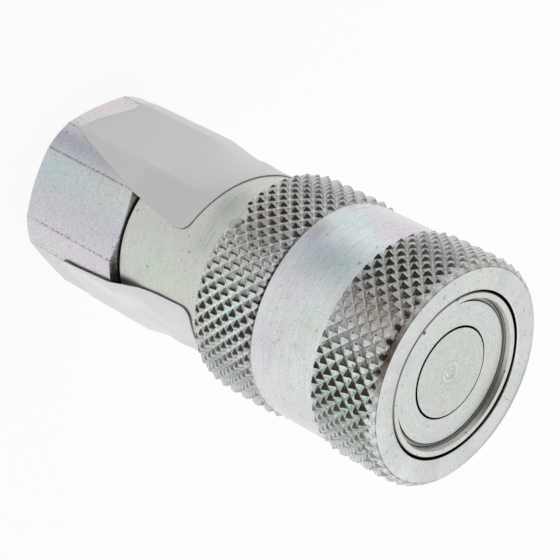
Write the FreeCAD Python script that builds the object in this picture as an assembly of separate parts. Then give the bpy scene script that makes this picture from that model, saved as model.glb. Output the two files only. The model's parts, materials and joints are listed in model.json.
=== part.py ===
"""Quick release coupling, the valved female half of a flat face pair.

Millimetres, +Z along the coupling's axis. The part stands on its hexagon end
at z = 0 and its mouth looks up. An angle is measured from -Y towards +X,
which is the side that the reference view sees.
"""
import FreeCAD
import Part
import math
import os

V = FreeCAD.Vector
AXIS = V(0, 0, 1)
ORIGIN = V(0, 0, 0)

# Overall sizes
length = 83.0
sleeve_length = 38.6
nipple_diameter = 24.5

# Running gaps and seats
nipple_clearance = 0.10
valve_clearance = 0.07
sleeve_clearance = 0.15
lip_clearance = 0.42
ball_clearance = 0.05
seal_clearance = 0.02
ring_side_gap = 0.05
end_clearance = 0.2
label_gap = 0.03

# Adapter: hexagon end with the threaded port, and the spigot in the body
hex_across_flats = 32.0
hex_corner_over = 2.3
hex_length = 22.9
hex_turn = 13.2
hex_front_chamfer = 0.2
hex_rear_chamfer = 0.45
hex_chamfer_angle = 30.0
port_minor_diameter = 18.631
port_depth = 17.0
port_mouth_chamfer = 1.5
flow_diameter = 17.2
shoulder_step = 1.4
shoulder_length = 0.5
spigot_wall = 2.6
spigot_cavity_length = 6.0
adapter_groove_start = 1.0
adapter_groove_width = 2.2
adapter_groove_depth = 1.45

# Body: rear chamber, bore, nose
chamber_step = 1.25
rear_chamber_length = 12.6
rear_edge_chamfer = 0.35
body_step = 0.9
nose_thick_wall = 2.4
nose_front_wall = 1.2
nose_recess = 0.27
nose_edge_chamfer = 0.15
lead_in_depth = 0.8
lead_in_width = 0.25
seal_groove_depth = 1.5
seal_width = 1.6
back_up_width = 1.2
seal_corner = 0.4
seal_front_wall = 1.45

# Locking balls in the nose
locking_balls = 10
locking_ball_diameter = 4.0
locking_ball_turn = 8.0
ball_hole_taper = 1.1
ball_hole_lip = 0.15

# Locking sleeve
sleeve_wall = 2.1
sleeve_travel = 3.0
sleeve_snap = 3.0
front_zone_length = 12.7
rear_zone_length = 12.8
band_step = 0.76
band_step_chamfer = 0.25
front_bevel_width = 1.45
front_bevel_length = 1.3
rim_chamfer = 0.75
guide_length = 5.4
land_length = 4.9
lip_length = 1.9
lip_mouth_chamfer = 0.15
recess_spare = 0.8

# Sleeve lock: a ball in the body and a half-round notch in the rim
notch_radius = 2.3
notch_turn = -19.6
lock_ball_diameter = 2.9
lock_ball_turn = -17.2
lock_ball_lead = 0.1
lock_ball_proud = 1.65
keyway_roof = 0.15

# Wire stop ring, thrust washer and sleeve spring
stop_wire = 1.2
stop_ring_proud = 0.75
stop_ring_opening = 24.0
stop_groove_depth = 1.1
stop_groove_land = 1.7
washer_thickness = 0.6
sleeve_spring_wire = 1.5
sleeve_spring_turns = 4.0
sleeve_spring_play = 0.15
sleeve_spring_room = 2.15
wire_flats = 8

# Valve sleeve, valve spring and stem
face_recess = 1.3
valve_sleeve_length = 21.7
valve_front_length = 13.7
valve_sleeve_edge = 0.6
valve_rear_wall = 1.35
valve_throat_cone = 2.6
stem_head_diameter = 14.9
stem_head_gap = 0.22
stem_head_thickness = 1.5
stem_seat_depth = 0.76
stem_neck_clearance = 0.12
stem_neck_length = 4.6
stem_groove_width = 2.2
stem_groove_depth = 1.4
stem_groove_offset = 1.0
stem_taper_length = 3.0
stem_diameter = 8.0
tail_diameter = 6.0
valve_spring_wire = 1.6
valve_spring_turns = 6.5
valve_spring_play = 0.2

# Stem holder and nut
holder_thickness = 4.0
hub_wall = 2.0
hub_extra = 1.5
holder_webs = 3
holder_web_width = 3.2
holder_seat = 0.25
nut_across_flats = 10.0
nut_thickness = 4.6
tail_beyond_nut = 0.8

# Paper label round the hexagon and the body
label_thickness = 0.2
label_rear = 5.5
label_rim_distance = 5.9
label_tent_end = 5.6
label_upper_end_rear = -6.9
label_upper_end_front = -0.1
label_lower_end_rear = 12.4
label_lower_end_front = 10.9

# Radii, outward from the nipple's bore
bore_r = nipple_diameter / 2 + nipple_clearance
valve_r = bore_r - valve_clearance
valve_inner_r = valve_r - valve_rear_wall
valve_spring_r = valve_inner_r - valve_spring_play - valve_spring_wire / 2
throat_r = valve_spring_r - valve_spring_wire / 2
chamber_r = bore_r + chamber_step
spigot_r = chamber_r - valve_clearance
nose_front_r = bore_r + nose_front_wall
nose_thick_r = bore_r + nose_thick_wall
room_r = nose_thick_r + sleeve_spring_room
body_r = room_r - body_step
sleeve_r = room_r + sleeve_wall
land_r = nose_thick_r + sleeve_clearance
lip_r = nose_front_r + lip_clearance
ball_r = locking_ball_diameter / 2
ball_centre_r = valve_r + ball_clearance + ball_r
ball_recess_r = ball_centre_r + ball_r + 2 * ball_clearance
lock_ball_r = lock_ball_diameter / 2
lock_ball_centre_r = body_r + lock_ball_proud - lock_ball_r
stop_groove_r = body_r - stop_groove_depth
hex_corner_r = (hex_across_flats + hex_corner_over) / 2
tail_r = tail_diameter / 2
hub_r = tail_r + hub_wall

# Places along the axis, from the hexagon end
body_rear = hex_length + shoulder_length
chamber_end = body_rear + rear_chamber_length
holder_rear = chamber_end - holder_thickness
hub_rear = holder_rear - hub_extra

# Places along the axis, back from the front face
nose_top = length - nose_recess
face_place = length - face_recess
valve_rear = face_place - valve_sleeve_length
valve_spring_seat = face_place - valve_front_length
lip_start = length - lip_length
ball_place = lip_start - recess_spare - sleeve_travel - ball_r
nose_step_place = lip_start - sleeve_travel - end_clearance
ramp_reach = (ball_r + ball_clearance) * math.sqrt(2)
land_end = ball_place + (land_r - ball_centre_r) - ramp_reach
land_start = land_end - land_length
seal_groove_width = seal_width + back_up_width + 3 * seal_clearance
seal_groove_place = ball_place - ball_r - seal_front_wall - seal_groove_width
rim_place = length - sleeve_length
band_start = rim_place + rear_zone_length
band_end = length - front_zone_length
guide_end = rim_place + guide_length
lock_ball_place = rim_place + lock_ball_lead
stop_groove_width = stop_wire + 2 * ring_side_gap
stop_groove_place = guide_end + sleeve_snap + end_clearance
spring_step_place = stop_groove_place + stop_groove_width + stop_groove_land
label_front = rim_place - label_rim_distance


def polar(angle, radius, z=0.0):
    """Point at an angle measured from -Y towards +X."""
    a = math.radians(angle)
    return V(radius * math.sin(a), -radius * math.cos(a), z)


def turned(outline):
    """Solid turned about the axis from a closed outline of (radius, z) points."""
    points = [V(r, 0, z) for r, z in outline]
    face = Part.Face(Part.makePolygon(points + points[:1]))
    return face.revolve(ORIGIN, AXIS, 360)


def tube(inner, outer, z0, z1):
    """Plain ring between two radii and two heights."""
    return turned([(inner, z0), (outer, z0), (outer, z1), (inner, z1)])


def hexagon(across_flats, z0, z1, turn):
    """Hexagonal prism whose flats face turn, turn + 60 and so on."""
    corner_r = across_flats / math.sqrt(3)
    corners = [polar(turn + 30 + 60 * k, corner_r, z0) for k in range(6)]
    face = Part.Face(Part.makePolygon(corners + corners[:1]))
    return face.extrude(V(0, 0, z1 - z0))


def seal_ring(inner, outer, z0, z1):
    """Squeezed elastomer ring: flat where it is pressed, with broken corners."""
    soft = seal_corner
    return turned([
        (inner + soft, z0),
        (outer - soft, z0),
        (outer, z0 + soft),
        (outer, z1 - soft),
        (outer - soft, z1),
        (inner + soft, z1),
        (inner, z1 - soft),
        (inner, z0 + soft),
    ])


def wire_section(wire, centre, outward):
    """Closed outline across a round wire, eight flats round its true circle."""
    corner_r = wire / 2 / math.cos(math.pi / wire_flats)
    points = []
    for k in range(wire_flats):
        a = (k + 0.5) * 2 * math.pi / wire_flats
        points.append(centre + outward * (corner_r * math.cos(a)) + AXIS * (corner_r * math.sin(a)))
    return Part.makePolygon(points + points[:1])


def coil_spring(mean_r, wire, z0, z1, turns):
    """Round wire spring with ends ground flat at z0 and z1."""
    pitch = (z1 - z0) / turns
    helix = Part.makeHelix(pitch, z1 - z0 + 2 * wire, mean_r)
    helix.translate(V(0, 0, z0 - wire))
    section = wire_section(wire, V(mean_r, 0, z0 - wire), V(1, 0, 0))
    coil = Part.Wire(helix.Edges).makePipeShell([section], True, True)
    reach = mean_r + 2 * wire
    room = Part.makeCylinder(reach, z1 - z0, V(0, 0, z0))
    return coil.common(room)


def stadium_cut(angle, radius, z0, z1, inner, outer):
    """Round-ended slot cut inward from `outer`, with its round end at z1."""
    centre = polar(angle, inner, z1 - radius)
    outward = polar(angle, 1)
    along = polar(angle + 90, 1)
    round_end = Part.makeCylinder(radius, outer - inner, centre, outward)
    low = polar(angle, inner, z0)
    corners = [
        low - along * radius,
        low + along * radius,
        low + along * radius + AXIS * (z1 - radius - z0),
        low - along * radius + AXIS * (z1 - radius - z0),
    ]
    face = Part.Face(Part.makePolygon(corners + corners[:1]))
    return round_end.fuse(face.extrude(outward * (outer - inner))).removeSplitter()


def adapter():
    """Hexagon end: threaded port, flow bore, shoulder and spigot."""
    slope = math.tan(math.radians(hex_chamfer_angle))
    blank = hexagon(hex_across_flats, 0, hex_length, hex_turn)
    flat_r = hex_across_flats / 2
    front_drop = (hex_corner_r - flat_r + hex_front_chamfer) * slope
    rear_drop = (hex_corner_r - flat_r + hex_rear_chamfer) * slope
    turning = turned([
        (0, 0),
        (flat_r - hex_rear_chamfer, 0),
        (hex_corner_r, rear_drop),
        (hex_corner_r, hex_length - front_drop),
        (flat_r - hex_front_chamfer, hex_length),
        (0, hex_length),
    ])
    shoulder = Part.makeCylinder(body_r - shoulder_step, shoulder_length, V(0, 0, hex_length))
    spigot = Part.makeCylinder(spigot_r, holder_rear - body_rear, V(0, 0, body_rear))
    solid = blank.common(turning).fuse([shoulder, spigot])

    port_r = port_minor_diameter / 2
    flow_r = flow_diameter / 2
    mouth_r = port_r + port_mouth_chamfer
    cavity_r = spigot_r - spigot_wall
    cavity_start = holder_rear - spigot_cavity_length
    passage = turned([
        (0, -1),
        (mouth_r, -1),
        (mouth_r, 0),
        (port_r, port_mouth_chamfer),
        (port_r, port_depth),
        (flow_r, port_depth + (port_r - flow_r)),
        (flow_r, cavity_start),
        (cavity_r, cavity_start + (cavity_r - flow_r)),
        (cavity_r, holder_rear + 1),
        (0, holder_rear + 1),
    ])
    groove_z = body_rear + adapter_groove_start
    groove_r = spigot_r - adapter_groove_depth
    groove = tube(groove_r, spigot_r + 1, groove_z, groove_z + adapter_groove_width)
    return solid.cut([passage, groove])


def adapter_o_ring():
    """Seal between the spigot and the body's rear bore."""
    z0 = body_rear + adapter_groove_start + seal_clearance
    inner = spigot_r - adapter_groove_depth + seal_clearance
    outer = chamber_r - seal_clearance
    return seal_ring(inner, outer, z0, z0 + adapter_groove_width - 2 * seal_clearance)


def coupler_body():
    """One turned piece: rear chamber, bore, ring groove, nose and ball holes."""
    groove_top = stop_groove_place + stop_groove_width
    solid = turned([
        (chamber_r, body_rear),
        (body_r - rear_edge_chamfer, body_rear),
        (body_r, body_rear + rear_edge_chamfer),
        (body_r, stop_groove_place),
        (stop_groove_r, stop_groove_place),
        (stop_groove_r, groove_top),
        (body_r, groove_top),
        (body_r, spring_step_place),
        (nose_thick_r, spring_step_place),
        (nose_thick_r, nose_step_place - (nose_thick_r - nose_front_r)),
        (nose_front_r, nose_step_place),
        (nose_front_r, nose_top - nose_edge_chamfer),
        (nose_front_r - nose_edge_chamfer, nose_top),
        (bore_r + lead_in_width, nose_top),
        (bore_r, nose_top - lead_in_depth),
        (bore_r, chamber_end),
        (chamber_r, chamber_end),
    ])
    seal_top = seal_groove_place + seal_groove_width
    seal_groove = tube(bore_r - 1, bore_r + seal_groove_depth, seal_groove_place, seal_top)
    cuts = [seal_groove]
    for k in range(locking_balls):
        angle = locking_ball_turn + 360 * k / locking_balls
        outward = polar(angle, 1)
        hole_r = ball_r + ball_clearance
        taper_top = polar(angle, bore_r + ball_hole_taper, ball_place)
        cuts.append(Part.makeCylinder(hole_r, 2 * ball_r, taper_top, outward))
        mouth_r = ball_r - ball_hole_lip
        cuts.append(Part.makeCone(hole_r, mouth_r, 2 * ball_hole_taper, taper_top, outward * -1))
    lock_centre = polar(lock_ball_turn, lock_ball_centre_r, lock_ball_place)
    cuts.append(Part.makeSphere(lock_ball_r + seal_clearance, lock_centre))
    return solid.cut(cuts)


def locking_ball(k):
    """One of the balls that lock the nipple, held out by the valve sleeve."""
    angle = locking_ball_turn + 360 * k / locking_balls
    return Part.makeSphere(ball_r, polar(angle, ball_centre_r, ball_place))


def lock_ball():
    """Ball pressed into the body that the notch of the rim clears or meets."""
    return Part.makeSphere(lock_ball_r, polar(lock_ball_turn, lock_ball_centre_r, lock_ball_place))


def body_seal():
    """Seal in the bore, on the valve sleeve now and on the nipple later."""
    z0 = seal_groove_place + seal_clearance
    return seal_ring(valve_r + seal_clearance, bore_r + seal_groove_depth - seal_clearance, z0, z0 + seal_width)


def back_up_ring():
    """Flat plastic ring that keeps the seal out of the gap."""
    z0 = seal_groove_place + seal_width + 2 * seal_clearance
    return tube(valve_r + seal_clearance, bore_r + seal_groove_depth - seal_clearance, z0, z0 + back_up_width)


def locking_sleeve():
    """Knurled outer sleeve: two raised zones, a smooth band, ramp, land and lip."""
    guide_r = body_r + sleeve_clearance
    face_r = sleeve_r - front_bevel_width
    band_r = sleeve_r - band_step
    ramp_end = land_end + (ball_recess_r - land_r)
    solid = turned([
        (guide_r, rim_place),
        (sleeve_r - rim_chamfer, rim_place),
        (sleeve_r, rim_place + rim_chamfer),
        (sleeve_r, band_start - band_step_chamfer),
        (sleeve_r - band_step_chamfer, band_start),
        (band_r, band_start),
        (band_r, band_end),
        (sleeve_r - band_step_chamfer, band_end),
        (sleeve_r, band_end + band_step_chamfer),
        (sleeve_r, length - front_bevel_length),
        (face_r, length),
        (lip_r + lip_mouth_chamfer, length),
        (lip_r, length - lip_mouth_chamfer),
        (lip_r, lip_start),
        (ball_recess_r, lip_start),
        (ball_recess_r, ramp_end),
        (land_r, land_end),
        (land_r, land_start),
        (room_r, land_start),
        (room_r, guide_end),
        (guide_r, guide_end),
    ])
    reach = sleeve_r + 1
    start_r = guide_r - 1
    notch_end = rim_place + notch_radius
    notch = stadium_cut(notch_turn, notch_radius, rim_place - 1, notch_end, start_r, reach)
    keyway_end = notch_end + sleeve_travel
    keyway_r = body_r + lock_ball_proud + keyway_roof
    keyway = stadium_cut(notch_turn, notch_radius, rim_place - 1, keyway_end, start_r, reach)
    keyway = keyway.common(Part.makeCylinder(keyway_r, length))
    return solid.cut([notch, keyway])


def sleeve_stop_ring():
    """Open wire ring in the body's groove that stops the sleeve's forward snap."""
    mean_r = body_r + stop_ring_proud - stop_wire / 2
    middle = stop_groove_place + stop_groove_width / 2
    start = stop_ring_opening / 2
    section = wire_section(stop_wire, polar(start, mean_r, middle), polar(start, 1))
    return Part.Face(section).revolve(ORIGIN, AXIS, 360 - stop_ring_opening)


def spring_thrust_washer():
    """Flat washer between the sleeve spring and the sleeve's shoulder."""
    inner = nose_thick_r + sleeve_clearance
    outer = room_r - sleeve_clearance
    return tube(inner, outer, land_start - washer_thickness, land_start)


def sleeve_spring():
    """Spring that pushes the sleeve forward against the balls."""
    mean_r = room_r - sleeve_spring_play - sleeve_spring_wire / 2
    top = land_start - washer_thickness - ring_side_gap
    return coil_spring(mean_r, sleeve_spring_wire, spring_step_place, top, sleeve_spring_turns)


def valve_sleeve():
    """Sliding sleeve that shuts the flow against the stem and holds the balls out."""
    mouth_r = stem_head_diameter / 2 + stem_head_gap
    seat_top = face_place - stem_head_thickness
    seat_low = seat_top - stem_seat_depth
    neck_bore_r = mouth_r - stem_seat_depth
    neck_low = seat_low - stem_neck_length
    return turned([
        (valve_inner_r, valve_rear),
        (valve_r - valve_sleeve_edge, valve_rear),
        (valve_r, valve_rear + valve_sleeve_edge),
        (valve_r, face_place - valve_sleeve_edge),
        (valve_r - valve_sleeve_edge, face_place),
        (mouth_r, face_place),
        (mouth_r, seat_top),
        (neck_bore_r, seat_low),
        (neck_bore_r, neck_low),
        (throat_r, neck_low - valve_throat_cone),
        (throat_r, valve_spring_seat),
        (valve_inner_r, valve_spring_seat),
    ])


def valve_stem():
    """Fixed stem: flat head, conical seat, seal groove, taper, shaft and tail."""
    head_r = stem_head_diameter / 2
    head_low = face_place - stem_head_thickness
    seat_low = head_low - stem_seat_depth
    neck_r = head_r + stem_head_gap - stem_seat_depth - stem_neck_clearance
    groove_top = seat_low - stem_groove_offset
    groove_low = groove_top - stem_groove_width
    groove_r = neck_r - stem_groove_depth
    neck_low = seat_low - stem_neck_length
    shaft_r = stem_diameter / 2
    tail_low = hub_rear - nut_thickness - tail_beyond_nut
    return turned([
        (0, tail_low),
        (tail_r - rear_edge_chamfer, tail_low),
        (tail_r, tail_low + rear_edge_chamfer),
        (tail_r, chamber_end),
        (shaft_r, chamber_end),
        (shaft_r, neck_low - stem_taper_length),
        (neck_r, neck_low),
        (neck_r, groove_low),
        (groove_r, groove_low),
        (groove_r, groove_top),
        (neck_r, groove_top),
        (neck_r, seat_low),
        (head_r, head_low),
        (head_r, face_place),
        (0, face_place),
    ])


def stem_seal():
    """Seal on the stem's neck inside the valve sleeve."""
    neck_bore_r = stem_head_diameter / 2 + stem_head_gap - stem_seat_depth
    neck_r = neck_bore_r - stem_neck_clearance
    groove_top = face_place - stem_head_thickness - stem_seat_depth - stem_groove_offset
    z0 = groove_top - stem_groove_width + seal_clearance
    inner = neck_r - stem_groove_depth + seal_clearance
    return seal_ring(inner, neck_bore_r - seal_clearance, z0, groove_top - seal_clearance)


def stem_holder():
    """Spider clamped by the adapter: rim, webs and the hub that holds the stem."""
    window_r = throat_r - holder_seat
    rim = tube(window_r, spigot_r, holder_rear, chamber_end)
    hub = Part.makeCylinder(hub_r, chamber_end - hub_rear, V(0, 0, hub_rear))
    webs = []
    for k in range(holder_webs):
        corner = V(0, -holder_web_width / 2, holder_rear)
        web = Part.makeBox(window_r + 1, holder_web_width, holder_thickness, corner)
        web.rotate(ORIGIN, AXIS, 360 * k / holder_webs)
        webs.append(web)
    hole = Part.makeCylinder(tail_r + seal_clearance, length)
    return rim.fuse([hub] + webs).cut(hole)


def stem_nut():
    """Hexagon nut that pulls the stem against its holder."""
    top = hub_rear
    corner_r = nut_across_flats / math.sqrt(3)
    chamfer = corner_r - nut_across_flats / 2
    turning = turned([
        (0, top - nut_thickness),
        (nut_across_flats / 2, top - nut_thickness),
        (corner_r, top - nut_thickness + chamfer),
        (corner_r, top),
        (0, top),
    ])
    blank = hexagon(nut_across_flats, top - nut_thickness, top, 0)
    hole = Part.makeCylinder(tail_r + seal_clearance, length)
    return blank.common(turning).cut(hole)


def valve_spring():
    """Spring that pushes the valve sleeve shut."""
    return coil_spring(valve_spring_r, valve_spring_wire, chamber_end, valve_spring_seat, valve_spring_turns)


def label_ring(z, offset, on_hexagon):
    """Closed wire round the hexagon's turned corners, or round the body."""
    corner_r = hex_corner_r + offset
    flat_r = hex_across_flats / 2 + offset
    radius = corner_r if on_hexagon else body_r + offset
    half_flat = math.degrees(math.acos(flat_r / corner_r))
    edges = []
    for k in range(6):
        middle = hex_turn + 60 * k
        a = polar(middle - half_flat, radius, z)
        b = polar(middle + half_flat, radius, z)
        c = polar(middle + 60 - half_flat, radius, z)
        if on_hexagon:
            edges.append(Part.makeLine(a, b))
        else:
            edges.append(Part.Arc(a, polar(middle, radius, z), b).toShape())
        edges.append(Part.Arc(b, polar(middle + 30, radius, z), c).toShape())
    return Part.Wire(edges)


def label_form(offset):
    """Outer form of the label at one offset: hexagon, tent and round part."""
    low = label_ring(label_rear, offset, True)
    tent_low = hex_length - hex_front_chamfer * math.tan(math.radians(hex_chamfer_angle))
    tent_high = body_rear + label_tent_end
    prism = Part.Face(low).extrude(V(0, 0, tent_low - label_rear))
    tent_ends = [label_ring(tent_low, offset, True), label_ring(tent_high, offset, False)]
    tent = Part.makeLoft(tent_ends, True, True)
    high = label_ring(tent_high, offset, False)
    cylinder = Part.Face(high).extrude(V(0, 0, label_front - tent_high))
    return prism.fuse([tent, cylinder])


def adhesive_label():
    """Paper label wrapped round the back, open where its two ends stop."""
    sheet = label_form(label_gap + label_thickness).cut(label_form(label_gap))
    corners = [
        V(label_upper_end_rear, 0, 0),
        V(label_upper_end_rear, 0, label_rear),
        V(label_upper_end_front, 0, label_front),
        V(label_upper_end_front, 0, label_front + 1),
        V(label_lower_end_front, 0, label_front + 1),
        V(label_lower_end_front, 0, label_front),
        V(label_lower_end_rear, 0, label_rear),
        V(label_lower_end_rear, 0, 0),
    ]
    opening = Part.Face(Part.makePolygon(corners + corners[:1])).extrude(V(0, -sleeve_r, 0))
    return sheet.cut(opening)


pieces = {
    "adapter": adapter(),
    "adapter_o_ring": adapter_o_ring(),
    "coupler_body": coupler_body(),
    "locking_sleeve": locking_sleeve(),
    "sleeve_stop_ring": sleeve_stop_ring(),
    "spring_thrust_washer": spring_thrust_washer(),
    "sleeve_spring": sleeve_spring(),
    "lock_ball": lock_ball(),
    "body_seal": body_seal(),
    "back_up_ring": back_up_ring(),
    "valve_sleeve": valve_sleeve(),
    "valve_spring": valve_spring(),
    "valve_stem": valve_stem(),
    "stem_seal": stem_seal(),
    "stem_holder": stem_holder(),
    "stem_nut": stem_nut(),
    "adhesive_label": adhesive_label(),
}
for k in range(locking_balls):
    pieces["locking_ball_%02d" % (k + 1)] = locking_ball(k)

os.makedirs("parts", exist_ok=True)
for name, shape in pieces.items():
    shape.exportStep("parts/" + name + ".step")
    print(name, len(shape.Solids), shape.isValid(), round(shape.Volume, 2))
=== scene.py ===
"""Looks of the flat face quick release coupling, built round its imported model.

Sizes are millimetres in the classes and metres in the meshes. The part stands on
its hexagon end with its mouth up. An angle is measured from -Y towards +X.
"""
from __future__ import annotations

import json
import logging
import math
from dataclasses import dataclass, field
from enum import Enum
from typing import Any, Callable, Sequence

import bmesh
import bpy
import numpy as np
from mathutils import Matrix, Vector

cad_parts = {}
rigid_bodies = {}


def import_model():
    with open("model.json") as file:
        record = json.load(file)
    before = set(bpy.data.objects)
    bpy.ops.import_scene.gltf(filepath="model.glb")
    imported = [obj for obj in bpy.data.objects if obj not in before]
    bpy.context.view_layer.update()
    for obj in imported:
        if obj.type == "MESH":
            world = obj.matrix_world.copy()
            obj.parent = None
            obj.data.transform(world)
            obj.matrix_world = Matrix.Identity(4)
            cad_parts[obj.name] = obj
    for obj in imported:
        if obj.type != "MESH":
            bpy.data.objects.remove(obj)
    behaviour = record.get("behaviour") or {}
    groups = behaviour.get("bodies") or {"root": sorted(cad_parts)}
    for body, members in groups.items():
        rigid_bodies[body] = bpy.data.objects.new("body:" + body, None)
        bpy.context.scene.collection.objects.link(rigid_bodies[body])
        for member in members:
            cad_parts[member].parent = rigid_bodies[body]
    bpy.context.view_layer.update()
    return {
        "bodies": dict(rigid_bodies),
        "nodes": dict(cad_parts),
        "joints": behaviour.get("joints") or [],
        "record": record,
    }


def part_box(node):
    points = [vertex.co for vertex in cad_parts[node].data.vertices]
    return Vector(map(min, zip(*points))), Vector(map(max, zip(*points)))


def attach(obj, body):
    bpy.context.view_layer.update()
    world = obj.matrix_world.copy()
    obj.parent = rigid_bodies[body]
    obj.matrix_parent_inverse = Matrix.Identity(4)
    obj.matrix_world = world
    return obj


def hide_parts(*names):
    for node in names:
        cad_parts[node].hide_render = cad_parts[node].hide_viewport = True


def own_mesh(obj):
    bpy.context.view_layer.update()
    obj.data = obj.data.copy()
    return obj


LOG = logging.getLogger("coupling")
MM = 0.001
SHARP_ANGLE = math.radians(36)
DOUBLED = 1e-7
SLIVER = 1e-8

Outline = list[tuple[float, float]]
Colour = tuple[float, float, float]
Socket = bpy.types.NodeSocket


class Body(Enum):
    """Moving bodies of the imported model."""

    COUPLING = "coupling_body"
    SLEEVE = "sleeve"
    VALVE = "valve"


class Grain(Enum):
    """Direction that a tool left its marks in."""

    TURNED = "turned"
    FACED = "faced"
    MILLED = "milled"


# Mesh helpers


def polar(angle: float, radius: float, z: float) -> Vector:
    """Point in metres at an angle from -Y towards +X.

    Args:
        angle: Degrees round the axis.
        radius: Distance from the axis, mm.
        z: Height, mm.

    Returns:
        The point in metres.
    """
    a = math.radians(angle)
    return Vector((radius * math.sin(a), -radius * math.cos(a), z)) * MM


def smooth_step(low: float, high: float, x: np.ndarray) -> np.ndarray:
    """Rises softly from 0 at low to 1 at high.

    Args:
        low: Where the rise starts.
        high: Where it ends.
        x: Values to test.

    Returns:
        Values from 0 to 1.
    """
    t = np.clip((x - low) / (high - low), 0.0, 1.0)
    return t * t * (3 - 2 * t)


def soft_min(a: np.ndarray, b: np.ndarray, blend: float) -> np.ndarray:
    """Smaller of two values, rounded where they cross.

    Args:
        a: First values.
        b: Second values.
        blend: Width of the rounding, in the values' own unit.

    Returns:
        The rounded minimum.
    """
    h = np.clip(0.5 + 0.5 * (b - a) / blend, 0.0, 1.0)
    return b * (1 - h) + a * h - blend * h * (1 - h)


def softened(outline: Outline, radius: float, steps: int = 4) -> Outline:
    """Breaks each corner of a closed outline with a small curve.

    Args:
        outline: Corners as (radius, z) in mm.
        radius: Length taken off each side of a corner, mm.
        steps: Pieces in each curve.

    Returns:
        The outline with curved corners, held flat beside each of them.
    """
    result: Outline = []
    count = len(outline)
    for k, corner in enumerate(outline):
        here = np.array(corner)
        before = np.array(outline[k - 1]) - here
        after = np.array(outline[(k + 1) % count]) - here
        reach = min(radius, 0.4 * np.linalg.norm(before), 0.4 * np.linalg.norm(after))
        if corner[0] < 1e-6:
            result.append(corner)
            continue
        start = here + before / np.linalg.norm(before) * reach
        end = here + after / np.linalg.norm(after) * reach
        hold = 0.25 * reach
        result.append(tuple(start + before / np.linalg.norm(before) * hold))
        for i in range(steps + 1):
            t = i / steps
            point = start * (1 - t) ** 2 + here * 2 * t * (1 - t) + end * t * t
            result.append(tuple(point))
        result.append(tuple(end + after / np.linalg.norm(after) * hold))
    return result


def refined(outline: Outline, step: float) -> Outline:
    """Adds points so that no side of a closed outline is longer than a step.

    Args:
        outline: Corners as (radius, z) in mm.
        step: Longest side, mm.

    Returns:
        The outline with the added points.
    """
    result: Outline = []
    for k, start in enumerate(outline):
        end = outline[(k + 1) % len(outline)]
        parts = max(1, math.ceil(math.dist(start, end) / step))
        for i in range(parts):
            t = i / parts
            result.append((start[0] * (1 - t) + end[0] * t, start[1] * (1 - t) + end[1] * t))
    return result


@dataclass(frozen=True)
class StainOrShade:
    """Soft patch of another tone on a plated surface; some are real stain marks, some paint light or shade.
    """

    turn: float
    z: float
    wide: float
    long: float
    colour: Colour

    def weight(self, angles: np.ndarray, z: np.ndarray) -> np.ndarray:
        """Strength of the patch, 1 in its middle.

        Args:
            angles: Degrees round the axis.
            z: Heights, mm.

        Returns:
            Values from 0 to 1.
        """
        off = (angles - self.turn + 180) % 360 - 180
        return np.exp(-((off / self.wide) ** 2) - ((z - self.z) / self.long) ** 2)


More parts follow.
